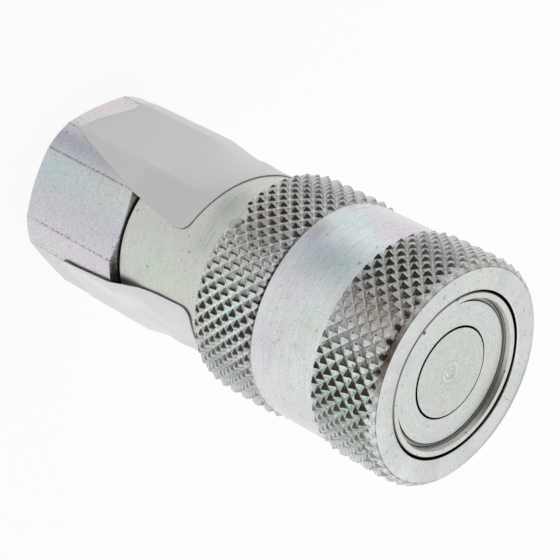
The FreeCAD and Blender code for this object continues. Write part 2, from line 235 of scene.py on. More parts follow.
@dataclass
class RingSkin:
    """Closed skin made of rings round the axis, each with its own radii and heights."""

    columns: int
    closed: bool = True
    start_angle: float = 0.0
    stains_and_shade: tuple[StainOrShade, ...] = ()
    radii: list[np.ndarray] = field(default_factory=list)
    heights: list[np.ndarray] = field(default_factory=list)
    marks: list[np.ndarray] = field(default_factory=list)
    tones: list[np.ndarray] = field(default_factory=list)
    takes_stains_and_shade: list[float] = field(default_factory=list)

    @property
    def angles(self) -> np.ndarray:
        """Angle of each column in degrees."""
        return self.start_angle + np.arange(self.columns) * 360.0 / self.columns

    def ring(self, radius: Any, z: Any, mark: Any = 0.0, tone: Any = 1.0, with_stains_and_shade: bool = True) -> None:
        """Adds one ring.

        Args:
            radius: One radius, or one for each column, mm.
            z: One height, or one for each column, mm.
            mark: Value from 0 to 1 that the finish reads.
            tone: Brightness of the finish, changed where light or shade is painted and by some marks; 1
                where it is plain.
            with_stains_and_shade: False keeps the stain patches and painted shade off this ring.
        """
        ones = np.ones(self.columns)
        self.radii.append(ones * radius)
        self.heights.append(ones * z)
        self.marks.append(ones * mark)
        self.tones.append(ones * tone)
        self.takes_stains_and_shade.append(float(with_stains_and_shade))

    def outline(
        self, points: Outline, tone: Callable[[float, float], Any] | None = None, with_stains_and_shade: bool = True
    ) -> None:
        """Adds a plain ring for each point of an outline.

        Args:
            points: (radius, z) in mm.
            tone: Gives the brightness of the finish at a point.
            with_stains_and_shade: False keeps the stain patches and painted shade off these rings.
        """
        for radius, z in points:
            self.ring(radius, z, 0.0, tone(radius, z) if tone else 1.0, with_stains_and_shade)

    def tints(self, angles: np.ndarray, heights: np.ndarray) -> np.ndarray:
        """Colour that each point's finish is multiplied by.

        Args:
            angles: Angle of each column.
            heights: Height of each point.

        Returns:
            One row of red, green, blue and alpha for each point.
        """
        tint = np.repeat(np.array(self.tones)[:, :, None], 3, axis=2)
        takes_stains_and_shade = np.array(self.takes_stains_and_shade)[:, None]
        # Each patch multiplies the tone; some are stain marks, some paint light or shade.
        for stain in self.stains_and_shade:
            weight = (stain.weight(angles[None, :], heights) * takes_stains_and_shade)[:, :, None]
            tint = tint * (1 - weight + weight * np.array(stain.colour))
        return np.concatenate([tint.reshape(-1, 3), np.ones((heights.size, 1))], axis=1)

    def build(self, name: str, split: bool = False) -> bpy.types.Object:
        """Makes the mesh object.

        Args:
            name: Name of the piece.
            split: True cuts each cell along its flatter diagonal.

        Returns:
            The new object, with the marks in its "mark" attribute.
        """
        radii = np.array(self.radii)
        heights = np.array(self.heights)
        angle = np.radians(self.angles)[None, :]
        rows, columns = radii.shape
        points = np.stack([radii * np.sin(angle), -radii * np.cos(angle), heights], axis=2) * MM
        index = np.arange(rows * columns).reshape(rows, columns)
        upper = np.roll(index, -1, axis=0) if self.closed else index[1:]
        lower = index if self.closed else index[:-1]
        corners = [lower, np.roll(lower, -1, axis=1), np.roll(upper, -1, axis=1), upper]
        quads = np.stack(corners, axis=2).reshape(-1, 4)
        if split:
            flat = radii.reshape(-1)
            first = np.abs(flat[quads[:, 0]] - flat[quads[:, 2]])
            second = np.abs(flat[quads[:, 1]] - flat[quads[:, 3]])
            use_first = (first <= second)[:, None]
            one = np.where(use_first, quads[:, [0, 1, 2]], quads[:, [0, 1, 3]])
            two = np.where(use_first, quads[:, [0, 2, 3]], quads[:, [1, 2, 3]])
            faces = np.concatenate([one, two])
        else:
            faces = quads
        tints = self.tints(self.angles, heights)
        return mesh_object(name, points.reshape(-1, 3), faces, np.array(self.marks).reshape(-1), tints)


def mesh_object(
    name: str, points: np.ndarray, faces: np.ndarray, marks: np.ndarray, tints: np.ndarray | None = None
) -> bpy.types.Object:
    """Makes an object from points and faces of one size.

    Args:
        name: Name of the object and its mesh.
        points: One row for each point, metres.
        faces: One row of point numbers for each face.
        marks: Value of each point for the finish.
        tints: Colour of each point that its finish is multiplied by.

    Returns:
        The object, in the scene, smooth but for its sharp edges.
    """
    mesh = bpy.data.meshes.new(name)
    mesh.from_pydata(points.tolist(), [], faces.tolist())
    mesh.attributes.new("mark", "FLOAT", "POINT").data.foreach_set("value", marks.astype(np.float32))
    if tints is not None:
        layer = mesh.attributes.new("tint", "FLOAT_COLOR", "POINT")
        layer.data.foreach_set("color", tints.astype(np.float32).reshape(-1))
    obj = bpy.data.objects.new(name, mesh)
    bpy.context.scene.collection.objects.link(obj)
    settle(obj)
    return obj


def settle(obj: bpy.types.Object) -> None:
    """Drops doubled points and sets smooth shading with sharp edges.

    Args:
        obj: The object whose mesh is finished.
    """
    work = bmesh.new()
    work.from_mesh(obj.data)
    bmesh.ops.remove_doubles(work, verts=work.verts, dist=DOUBLED)
    bmesh.ops.dissolve_degenerate(work, dist=SLIVER, edges=work.edges)
    work.to_mesh(obj.data)
    work.free()
    obj.data.polygons.foreach_set("use_smooth", np.ones(len(obj.data.polygons), bool))
    obj.data.set_sharp_from_angle(angle=SHARP_ANGLE)
    obj.data.update()


def cut_away(obj: bpy.types.Object, cutters: Sequence[bpy.types.Object]) -> None:
    """Cuts closed forms out of a piece and removes them.

    Args:
        obj: The piece.
        cutters: Closed objects to take away from it.
    """
    for cutter in cutters:
        modifier = obj.modifiers.new("cut", "BOOLEAN")
        modifier.operation = "DIFFERENCE"
        modifier.solver = "MANIFOLD"
        modifier.object = cutter
    bpy.context.view_layer.update()
    graph = bpy.context.evaluated_depsgraph_get()
    mesh = bpy.data.meshes.new_from_object(obj.evaluated_get(graph))
    obj.modifiers.clear()
    old = obj.data
    obj.data = mesh
    bpy.data.meshes.remove(old)
    for cutter in cutters:
        bpy.data.objects.remove(cutter)
    settle(obj)


def turned(
    name: str,
    outline: Outline,
    columns: int = 256,
    edge: float = 0.12,
    stains_and_shade: tuple[StainOrShade, ...] = (),
    tone: Callable[[float, float], Any] | None = None,
    step: float = 100.0,
) -> bpy.types.Object:
    """Turned piece with broken edges from a closed outline.

    Args:
        name: Name of the piece.
        outline: (radius, z) in mm, outer side upwards and bore downwards.
        columns: Flats round the piece.
        edge: Size of the broken edges, mm.
        stains_and_shade: Soft patches on it: real stain marks and painted light and shade.
        tone: Gives the brightness of the finish at a radius and height.
        step: Longest side of the outline, mm.

    Returns:
        The object.
    """
    skin = RingSkin(columns, stains_and_shade=stains_and_shade)
    skin.outline(refined(softened(outline, edge), step), tone)
    return skin.build(name)


def prism(name: str, points: Sequence[Vector]) -> bpy.types.Object:
    """Closed form between two ends with the same number of corners.

    Args:
        name: Name of the object and its mesh.
        points: Corners of one end, then those of the other, metres.

    Returns:
        The object.
    """
    count = len(points) // 2
    faces = [(k, (k + 1) % count, count + (k + 1) % count, count + k) for k in range(count)]
    faces.append(tuple(range(count - 1, -1, -1)))
    faces.append(tuple(range(count, 2 * count)))
    mesh = bpy.data.meshes.new(name)
    mesh.from_pydata([tuple(p) for p in points], [], faces)
    obj = bpy.data.objects.new(name, mesh)
    bpy.context.scene.collection.objects.link(obj)
    return obj


def rod(
    start: Vector, end: Vector, start_radius: float, end_radius: float, sides: int = 40
) -> bpy.types.Object:
    """Closed straight or tapered rod, used to cut round holes.

    Args:
        start: Centre of one end, metres.
        end: Centre of the other end, metres.
        start_radius: Radius at the start, mm.
        end_radius: Radius at the end, mm.
        sides: Flats round it.

    Returns:
        The object.
    """
    along = (end - start).normalized()
    side = along.orthogonal().normalized()
    other = along.cross(side)
    points = []
    for centre, radius in ((start, start_radius), (end, end_radius)):
        for k in range(sides):
            a = 2 * math.pi * k / sides
            points.append(centre + (side * math.cos(a) + other * math.sin(a)) * radius * MM)
    return prism("rod", points)


def stadium(
    angle: float, radius: float, z0: float, z1: float, inner: float, outer: float
) -> bpy.types.Object:
    """Round-ended slot form that looks outward, used to cut the notch.

    Args:
        angle: Degrees round the axis.
        radius: Half its width, mm.
        z0: Height of its square end.
        z1: Height of the crown of its round end.
        inner: Distance from the axis where it starts.
        outer: Distance from the axis where it stops.

    Returns:
        The object.
    """
    outward = polar(angle, 1.0, 0.0).normalized()
    along = polar(angle + 90, 1.0, 0.0).normalized()
    centre = z1 - radius
    section = [(-radius, z0), (radius, z0)]
    arc_steps = 32
    for k in range(arc_steps + 1):
        a = math.pi * k / arc_steps
        section.append((radius * math.cos(a), centre + radius * math.sin(a)))
    points = []
    for distance in (inner, outer):
        for side, z in section:
            points.append((outward * distance + along * side + Vector((0, 0, z))) * MM)
    return prism("stadium", points)


# Finish helpers


class Graph:
    """Shorthand for writing the nodes of one material or world."""

    def __init__(self, owner: bpy.types.Material | bpy.types.World, output: str = "OutputMaterial") -> None:
        """Clears the owner's nodes.

        Args:
            owner: New material or world.
            output: Kind of its last node.
        """
        owner.use_nodes = True
        self.owner = owner
        self.nodes = owner.node_tree.nodes
        self.links = owner.node_tree.links
        self.nodes.clear()
        self.output = self.nodes.new("ShaderNode" + output)

    def put(self, socket: Socket, value: Any) -> None:
        """Links a socket or sets its value.

        Args:
            socket: Input socket.
            value: Another socket, a number or a colour.
        """
        if isinstance(value, bpy.types.NodeSocket):
            self.links.new(value, socket)
        elif isinstance(value, tuple) and len(value) == 3 and socket.type == "RGBA":
            socket.default_value = (*value, 1.0)
        else:
            socket.default_value = value

    def node(self, kind: str, inputs: dict[Any, Any] | None = None, **settings: Any) -> bpy.types.Node:
        """Adds a node.

        Args:
            kind: Node type without its ShaderNode prefix.
            inputs: Values or sockets by input name or number.
            settings: Properties of the node.

        Returns:
            The node.
        """
        node = self.nodes.new("ShaderNode" + kind)
        for key, value in settings.items():
            setattr(node, key, value)
        for key, value in (inputs or {}).items():
            self.put(node.inputs[key], value)
        return node

    def math(self, operation: str, a: Any, b: Any = 0.0) -> Socket:
        """Returns the result of a math node."""
        return self.node("Math", {0: a, 1: b}, operation=operation).outputs[0]

    def mix(self, factor: Any, a: Any, b: Any) -> Socket:
        """Returns a colour between a and b."""
        return self.node("Mix", {0: factor, 6: a, 7: b}, data_type="RGBA").outputs[2]

    def tint(self, factor: Any, a: Any, b: Any) -> Socket:
        """Returns colour a multiplied by b as far as factor says."""
        return self.node("Mix", {0: factor, 6: a, 7: b}, data_type="RGBA", blend_type="MULTIPLY").outputs[2]

    def dot(self, vector: Socket, direction: tuple[float, float, float]) -> Socket:
        """Returns how far a vector points along a direction, from -1 to 1."""
        inputs = {0: vector, 1: Vector(direction).normalized()}
        return self.node("VectorMath", inputs, operation="DOT_PRODUCT").outputs["Value"]

    def vector(self, x: Any, y: Any, z: Any) -> Socket:
        """Returns a vector made of three numbers."""
        return self.node("CombineXYZ", {0: x, 1: y, 2: z}).outputs[0]

    def noise(self, vector: Socket, scale: float, detail: float = 2.0, rough: float = 0.5) -> Socket:
        """Adds a noise texture.

        Args:
            vector: Place in the noise.
            scale: Size of the pattern, larger is finer.
            detail: Layers of finer noise.
            rough: Strength of the finer layers.

        Returns:
            Its value, from 0 to 1.
        """
        inputs = {"Vector": vector, "Scale": scale, "Detail": detail, "Roughness": rough}
        return self.node("TexNoise", inputs).outputs[0]

    def ramp(self, value: Socket, stops: Sequence[tuple[float, Any]]) -> Socket:
        """Returns a colour looked up in a ramp.

        Args:
            value: Place along the ramp.
            stops: Places from 0 to 1, each with a grey value or a colour.

        Returns:
            The colour.
        """
        node = self.node("ValToRGB", {0: value})
        elements = node.color_ramp.elements
        while len(elements) < len(stops):
            elements.new(1.0)
        for element, (place, colour) in zip(elements, stops):
            element.position = place
            grey = (colour, colour, colour)
            element.color = (*(colour if isinstance(colour, tuple) else grey), 1.0)
        return node.outputs[0]

    def place(self) -> dict[str, Socket]:
        """Finds the point on the piece.

        Returns:
            Its vector, z and radius in millimetres and its angle in radians.
        """
        coords = self.node("TexCoord").outputs["Object"]
        scaled = self.node("VectorMath", {0: coords, "Scale": 1 / MM}, operation="SCALE").outputs[0]
        parts = self.node("SeparateXYZ", {0: scaled})
        x, y, z = parts.outputs
        squares = self.math("ADD", self.math("MULTIPLY", x, x), self.math("MULTIPLY", y, y))
        radius = self.math("SQRT", squares)
        angle = self.math("ARCTAN2", x, self.math("MULTIPLY", y, -1.0))
        return {"vector": scaled, "z": z, "radius": radius, "angle": angle}

    def attribute(self, name: str, output: str) -> Socket:
        """Returns a value painted on the mesh."""
        return self.node("Attribute", attribute_name=name, attribute_type="GEOMETRY").outputs[output]

    def finish(self, shader: bpy.types.Node) -> bpy.types.Material:
        """Wires a shader to the output and returns the material or world."""
        self.links.new(shader.outputs[0], self.output.inputs["Surface"])
        return self.owner


@dataclass(frozen=True)
class Blot:
    """Small dark burr spot at a place on the piece."""

    turn: float
    radius: float
    z: float
    size: float
    strength: float = 0.85


@dataclass(frozen=True)
class ZincFinish:
    """Clear zinc plating: pale, fine tool marks, pastel stain clouds, pits and scratches."""

    name: str
    base: Colour = (0.62, 0.635, 0.625)
    roughness: float = 0.30
    grain: Grain = Grain.TURNED
    grain_pitch: float = 0.22
    grain_depth: float = 0.010
    grain_tint: float = 0.55
    stain: float = 0.55
    stain_size: float = 14.0
    speckle: float = 0.5
    pins: float = 0.6
    pits: float = 0.6
    scratches: float = 0.5
    mark_colour: Colour = (0.10, 0.085, 0.075)
    mark_dashes: bool = False
    mark_strength: float = 0.0
    mark_speckle: float = 0.0
    mottle: float = 0.2
    blots: tuple[Blot, ...] = ()

    STAINS = (
        (0.28, (0.93, 1.00, 0.95)),
        (0.42, (1.00, 0.95, 0.98)),
        (0.52, (0.98, 0.99, 1.00)),
        (0.62, (1.00, 0.99, 0.93)),
        (0.74, (0.92, 0.97, 1.00)),
    )

    MOTTLES = (
        (0.34, (0.86, 0.97, 0.91)),
        (0.46, (1.00, 1.00, 1.00)),
        (0.56, (0.97, 0.93, 0.93)),
        (0.68, (0.80, 0.74, 0.72)),
    )

    def blotted(self, graph: Graph, here: Socket, colour: Socket) -> Socket:
        """Darkens the colour at each blot.

        Args:
            graph: The material's nodes.
            here: Point on the piece, mm.
            colour: Colour before.

        Returns:
            Colour with the blots.
        """
        for blot in self.blots:
            middle = polar(blot.turn, blot.radius, blot.z) / MM
            apart = graph.node("VectorMath", {0: here, 1: tuple(middle)}, operation="DISTANCE")
            distance = apart.outputs["Value"]
            ragged = graph.math("ADD", distance, graph.math("MULTIPLY", graph.noise(here, 4.0), blot.size))
            limits = {0: ragged, 1: 1.7 * blot.size, 2: 1.2 * blot.size, 3: 0.0, 4: blot.strength}
            near = graph.node("MapRange", limits).outputs[0]
            colour = graph.mix(near, colour, (0.06, 0.045, 0.035))
        return colour

    def grain_vector(self, graph: Graph, place: dict[str, Socket]) -> Socket:
        """Coordinates that draw noise out along the tool's path.

        Args:
            graph: The material's nodes.
            place: Point on the piece.

        Returns:
            A vector for a noise texture of scale 1.
        """
        fine = 1 / self.grain_pitch
        if self.grain is Grain.TURNED:
            along = graph.math("MULTIPLY", place["angle"], 2.2)
            return graph.vector(along, graph.math("MULTIPLY", place["z"], fine), 0.0)
        if self.grain is Grain.FACED:
            along = graph.math("MULTIPLY", place["angle"], 1.6)
            return graph.vector(along, graph.math("MULTIPLY", place["radius"], fine), 0.0)
        across = graph.math("MULTIPLY", place["angle"], 60.0)
        return graph.vector(across, graph.math("MULTIPLY", place["z"], 1.2), 0.0)

    def material(self) -> bpy.types.Material:
        """Builds the finish."""
        graph = Graph(bpy.data.materials.new(self.name))
        place = graph.place()
        here = place["vector"]
        grain = graph.noise(self.grain_vector(graph, place), 1.0, 3.0, 0.6)
        fine = graph.noise(here, 3.2, 4.0, 0.75)
        cloud = graph.noise(here, 1 / self.stain_size, 3.0, 0.55)
        bloom = graph.noise(here, 2.4 / self.stain_size, 4.0, 0.6)

        colour = graph.tint(self.stain, self.base, graph.ramp(cloud, self.STAINS))
        colour = graph.tint(self.stain * 0.5, colour, graph.ramp(bloom, self.STAINS))
        patches = graph.noise(here, 0.75, 3.0, 0.6)
        colour = graph.tint(self.mottle, colour, graph.ramp(patches, self.MOTTLES))
        # The tint attribute carries each piece's tones and patches, among them painted light and shade.
        colour = graph.tint(1.0, colour, graph.attribute("tint", "Color"))
        colour = graph.tint(self.grain_tint, colour, graph.ramp(grain, ((0.30, 0.84), (0.62, 1.0))))
        mark = graph.attribute("mark", "Fac")
        speckle = graph.math("ADD", self.speckle, graph.math("MULTIPLY", mark, self.mark_speckle))
        colour = graph.tint(speckle, colour, graph.ramp(fine, ((0.36, 0.50), (0.62, 1.0))))
        pins = graph.ramp(graph.noise(here, 2.6, 1.0, 0.5), ((0.0, 1.0), (0.25, 1.0), (0.31, 0.0)))
        colour = graph.mix(graph.math("MULTIPLY", pins, self.pins), colour, (0.22, 0.20, 0.19))

        spots = graph.noise(here, 1.15, 2.0, 0.4)
        pit = graph.ramp(spots, ((0.0, 1.0), (0.245, 1.0), (0.285, 0.0)))
        colour = graph.mix(graph.math("MULTIPLY", pit, self.pits), colour, (0.18, 0.16, 0.14))

        aslant = graph.node("VectorRotate", {"Vector": here, "Angle": 0.55}, rotation_type="Z_AXIS")
        drawn = graph.node("VectorMath", {0: aslant.outputs[0], 1: (0.16, 0.16, 2.6)}, operation="MULTIPLY")
        lines = graph.noise(drawn.outputs[0], 1.0, 1.0, 0.3)
        scratch = graph.ramp(lines, ((0.0, 1.0), (0.245, 0.8), (0.28, 0.0)))
        colour = graph.mix(graph.math("MULTIPLY", scratch, self.scratches), colour, (0.34, 0.33, 0.32))

        colour = self.blotted(graph, here, colour)
        if self.mark_strength:
            if self.mark_dashes:
                broken = graph.noise(here, 1.7, 3.0, 0.75)
                mark = graph.math("MULTIPLY", mark, graph.ramp(broken, ((0.44, 0.0), (0.52, 1.0))))
            else:
                worn = graph.ramp(bloom, ((0.35, 0.45), (0.65, 1.0)))
                mark = graph.math("MULTIPLY", mark, worn)
            colour = graph.mix(graph.math("MULTIPLY", mark, self.mark_strength), colour, self.mark_colour)

        rough = graph.math("ADD", self.roughness - 0.05, graph.math("MULTIPLY", fine, 0.12))
        rough_skin = graph.math("MULTIPLY", fine, 0.006 + 0.006 * self.speckle)
        height = graph.math("ADD", graph.math("MULTIPLY", grain, self.grain_depth), rough_skin)
        height = graph.math("SUBTRACT", height, graph.math("MULTIPLY", pit, 0.02))
        height = graph.math("SUBTRACT", height, graph.math("MULTIPLY", scratch, 0.008))
        bump = graph.node("Bump", {"Strength": 0.9, "Distance": MM, "Height": height})
        shader = graph.node("BsdfPrincipled", {
            "Base Color": colour,
            "Metallic": 1.0,
            "Roughness": rough,
            "Normal": bump.outputs[0],
        })
        return graph.finish(shader)


@dataclass(frozen=True)
class SteelFinish:
    """Plain bright or drawn steel."""

    name: str
    base: Colour
    roughness: float
    grain_scale: float = 3.0

    def material(self) -> bpy.types.Material:
        """Builds the finish."""
        graph = Graph(bpy.data.materials.new(self.name))
        here = graph.place()["vector"]
        cloud = graph.noise(here, 0.35, 3.0, 0.6)
        grain = graph.noise(here, self.grain_scale, 3.0, 0.6)
        colour = graph.tint(0.6, self.base, graph.ramp(cloud, ((0.3, 0.78), (0.7, 1.0))))
        rough = graph.math("ADD", self.roughness, graph.math("MULTIPLY", grain, 0.12))
        bump = graph.node("Bump", {"Strength": 0.35, "Distance": 0.02 * MM, "Height": grain})
        shader = graph.node("BsdfPrincipled", {
            "Base Color": colour,
            "Metallic": 1.0,
            "Roughness": rough,
            "Normal": bump.outputs[0],
        })
        return graph.finish(shader)


@dataclass(frozen=True)
class MouldedFinish:
    """Moulded rubber or skived plastic."""

    name: str
    base: Colour
    roughness: float

    def material(self) -> bpy.types.Material:
        """Builds the finish."""
        graph = Graph(bpy.data.materials.new(self.name))
        here = graph.place()["vector"]
        grain = graph.noise(here, 3.5, 4.0, 0.6)
        colour = graph.tint(0.5, self.base, graph.ramp(grain, ((0.3, 0.8), (0.7, 1.0))))
        rough = graph.math("ADD", self.roughness, graph.math("MULTIPLY", grain, 0.15))
        bump = graph.node("Bump", {"Strength": 0.4, "Distance": 0.03 * MM, "Height": grain})
        shader = graph.node("BsdfPrincipled", {
            "Base Color": colour,
            "Roughness": rough,
            "Normal": bump.outputs[0],
        })
        return graph.finish(shader)


@dataclass(frozen=True)
class PaperFinish:
    """Matt grey self-adhesive paper."""

    name: str
    base: Colour = (0.86, 0.865, 0.88)
    roughness: float = 0.55

    def material(self) -> bpy.types.Material:
        """Builds the finish."""
        graph = Graph(bpy.data.materials.new(self.name))
        here = graph.place()["vector"]
        fibre = graph.noise(here, 4.0, 5.0, 0.65)
        cloud = graph.noise(here, 0.09, 3.0, 0.5)
        clouds = graph.ramp(cloud, ((0.3, (0.95, 0.94, 0.94)), (0.7, (1.0, 1.0, 1.0))))
        colour = graph.tint(0.6, self.base, clouds)
        colour = graph.tint(0.35, colour, graph.ramp(fibre, ((0.3, 0.9), (0.7, 1.0))))
        # The tint attribute carries painted light and shade of the label's folds.
        colour = graph.tint(1.0, colour, graph.attribute("tint", "Color"))
        # Painted shade along the sheet's cut edges, from the mark attribute.
        mark = graph.attribute("mark", "Fac")
        colour = graph.mix(graph.math("MULTIPLY", mark, 0.45), colour, (0.40, 0.39, 0.39))
        rough = graph.math("ADD", self.roughness, graph.math("MULTIPLY", fibre, 0.12))
        bump = graph.node("Bump", {"Strength": 0.25, "Distance": 0.03 * MM, "Height": fibre})
        shader = graph.node("BsdfPrincipled", {
            "Base Color": colour,
            "Roughness": rough,
            "Specular IOR Level": 0.35,
            "Normal": bump.outputs[0],
        })
        return graph.finish(shader)


def dress(obj: bpy.types.Object, material: bpy.types.Material) -> None:
    """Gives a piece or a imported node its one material.

    Args:
        obj: The object.
        material: Its finish.
    """
    if obj.data.materials:
        for k in range(len(obj.material_slots)):
            obj.material_slots[k].material = material
    else:
        obj.data.materials.append(material)


def settle_on(piece: bpy.types.Object, node: str, body: Body) -> None:
    """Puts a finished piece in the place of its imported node.

    Args:
        piece: The new piece.
        node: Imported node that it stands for.
        body: Body that it moves with.
    """
    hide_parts(node)
    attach(piece, body.value)
    LOG.info("%s: %d faces", piece.name, len(piece.data.polygons))


# Sub-assemblies


@dataclass
class Adapter:
    """Hexagon end with its port thread, shoulder and spigot."""

    across_flats: float = 32.0
    corner_radius: float = 17.15
    turn: float = 13.2
    hex_length: float = 22.9
    front_chamfer: float = 0.2
    rear_chamfer: float = 0.45
    front_slope: float = 0.32
    rear_slope: float = math.tan(math.radians(30))
    thread_minor: float = 9.3155
    thread_major: float = 10.4775
    thread_pitch: float = 1.814
    thread_depth: float = 17.0
    rings_per_turn: int = 7
    mouth_chamfer: float = 1.5
    flow_radius: float = 8.6
    shoulder_radius: float = 14.6
    shoulder_top: float = 23.4
    spigot_radius: float = 13.53
    spigot_top: float = 30.5
    cavity_radius: float = 10.93
    cavity_start: float = 24.5
    groove_low: float = 24.4
    groove_high: float = 26.6
    groove_radius: float = 12.08
    edge_blend: float = 0.10
    burr_width: float = 0.13
    chamfer_shade_corner: float = 40.0
    chamfer_shade_spread: float = 13.0
    columns: int = 720
    stains_and_shade: tuple[StainOrShade, ...] = (
        StainOrShade(-17.0, 8.0, 9.5, 30.0, (0.63, 0.65, 0.72)),
        StainOrShade(13.0, 10.0, 22.0, 30.0, (0.86, 0.89, 0.95)),
        StainOrShade(2.0, 4.0, 10.0, 9.0, (0.88, 1.0, 0.97)),
        StainOrShade(26.0, 5.0, 9.0, 7.0, (1.0, 0.97, 1.0)),
        StainOrShade(22.0, 17.0, 12.0, 6.0, (0.98, 0.965, 1.0)),
        StainOrShade(0.0, 17.0, 8.0, 5.0, (0.98, 1.0, 0.94)),
        StainOrShade(40.0, 10.0, 10.0, 30.0, (1.06, 1.02, 1.08)),
        StainOrShade(56.0, 5.0, 8.0, 8.0, (0.92, 1.0, 0.95)),
        StainOrShade(-47.0, 8.0, 16.0, 12.0, (1.10, 1.05, 1.04)),
    )

    def flat_angle(self, angles: np.ndarray) -> np.ndarray:
        """Degrees from the middle of the nearest flat."""
        return (angles - self.turn + 30) % 60 - 30

    def side(self, angles: np.ndarray, z: float) -> np.ndarray:
        """Outer radius of the hexagon: flats, turned corners and end chamfers.

        Args:
            angles: Degrees round the axis.
            z: Height, mm.

        Returns:
            The radius at each angle.
        """
        flat = self.across_flats / 2
        radius = flat / np.cos(np.radians(self.flat_angle(angles)))
        radius = soft_min(radius, np.full_like(radius, self.corner_radius), self.edge_blend)
        front = flat - self.front_chamfer + (self.hex_length - z) / self.front_slope
        rear = flat - self.rear_chamfer + z / self.rear_slope
        radius = soft_min(radius, np.full_like(radius, front), self.edge_blend)
        return soft_min(radius, np.full_like(radius, rear), self.edge_blend)

    def burr(self, angles: np.ndarray, z: float) -> tuple[np.ndarray, np.ndarray]:
        """Mark along the edges between flats and turned corners, and the front chamfer's tone, which is
        painted shade strongest near one corner.

        Args:
            angles: Degrees round the axis.
            z: Height, mm.

        Returns:
            The mark and the tone at each angle; the tone is painted shade on the chamfer.
        """
        half_flat = math.degrees(math.acos(self.across_flats / 2 / self.corner_radius))
        off = np.radians(np.abs(np.abs(self.flat_angle(angles)) - half_flat)) * self.corner_radius
        line = np.exp(-((off / self.burr_width) ** 2))
        flat = self.across_flats / 2
        bare = flat / np.cos(np.radians(self.flat_angle(angles)))
        bare = np.minimum(bare, self.corner_radius)
        front = flat - self.front_chamfer + (self.hex_length - z) / self.front_slope
        chamfer = smooth_step(-0.25, 0.15, bare - front)
        # Painted shade on the front chamfer, strongest round 40 degrees; the chamfer also adds to the
        # dashed burr mark.
        off_corner = (angles - self.chamfer_shade_corner + 180) % 360 - 180
        rough = 0.25 + 0.75 * np.exp(-((off_corner / self.chamfer_shade_spread) ** 2))
        return np.clip(line + 0.8 * chamfer * rough, 0, 1), 1 - 0.68 * chamfer * rough

    def thread(self, angles: np.ndarray, z: float) -> np.ndarray:
        """Radius of the right-handed port thread at one height.

        Args:
            angles: Degrees round the axis.
            z: Height, mm.

        Returns:
            The radius at each angle, mm.
        """
        turns = (z / self.thread_pitch - angles / 360) % 1
        wave = 1 - np.abs(2 * turns - 1)
        form = np.clip(0.5 + 1.25 * (wave - 0.5), 0, 1)
        fade = smooth_step(self.thread_depth - 0.4, self.thread_depth - 2.6, np.array(z))
        bore = self.thread_minor + (self.thread_major - self.thread_minor) * form * fade
        mouth = self.thread_minor + self.mouth_chamfer - z
        return np.maximum(bore, mouth)

    def build(self, finish: bpy.types.Material) -> None:
        """Makes the piece.

        Args:
            finish: Material of the piece.
        """
        skin = RingSkin(self.columns, stains_and_shade=self.stains_and_shade)
        angles = skin.angles
        rear_r = self.thread_minor + self.mouth_chamfer
        skin.outline([(rear_r, 0.0), (rear_r + 0.1, 0.0), (15.2, 0.0)])
        stretches = ((0.0, 1.6, 15), (2.4, 20.4, 16), (21.3, self.hex_length, 19))
        for z in np.concatenate([np.linspace(*stretch) for stretch in stretches]):
            mark, tone = self.burr(angles, z)
            skin.ring(self.side(angles, z), z, mark, tone)
        inner = [
            (self.shoulder_radius + 0.1, self.hex_length),
            (self.shoulder_radius, self.hex_length + 0.05),
            (self.shoulder_radius, self.shoulder_top - 0.05),
            (self.shoulder_radius - 0.1, self.shoulder_top),
            (self.spigot_radius, self.shoulder_top),
            (self.spigot_radius, self.groove_low),
            (self.groove_radius, self.groove_low),
            (self.groove_radius, self.groove_high),
            (self.spigot_radius, self.groove_high),
            (self.spigot_radius, self.spigot_top),
            (self.cavity_radius, self.spigot_top),
            (self.cavity_radius, self.cavity_start + self.cavity_radius - self.flow_radius),
            (self.flow_radius, self.cavity_start),
            (self.flow_radius, self.thread_depth + self.thread_minor - self.flow_radius),
        ]
        # Painted shade: the shoulder in the groove between the hexagon and the body, and the faces inside,
        # are darkened to 0.35.
        skin.outline(inner, lambda radius, z: 0.35)
        rows = int(self.thread_depth / self.thread_pitch * self.rings_per_turn)
        for z in np.linspace(self.thread_depth, 0.0, rows):
            skin.ring(self.thread(angles, z), z, 0.0)
        piece = skin.build("hexagon_adapter")
        dress(piece, finish)
        settle_on(piece, "adapter", Body.COUPLING)


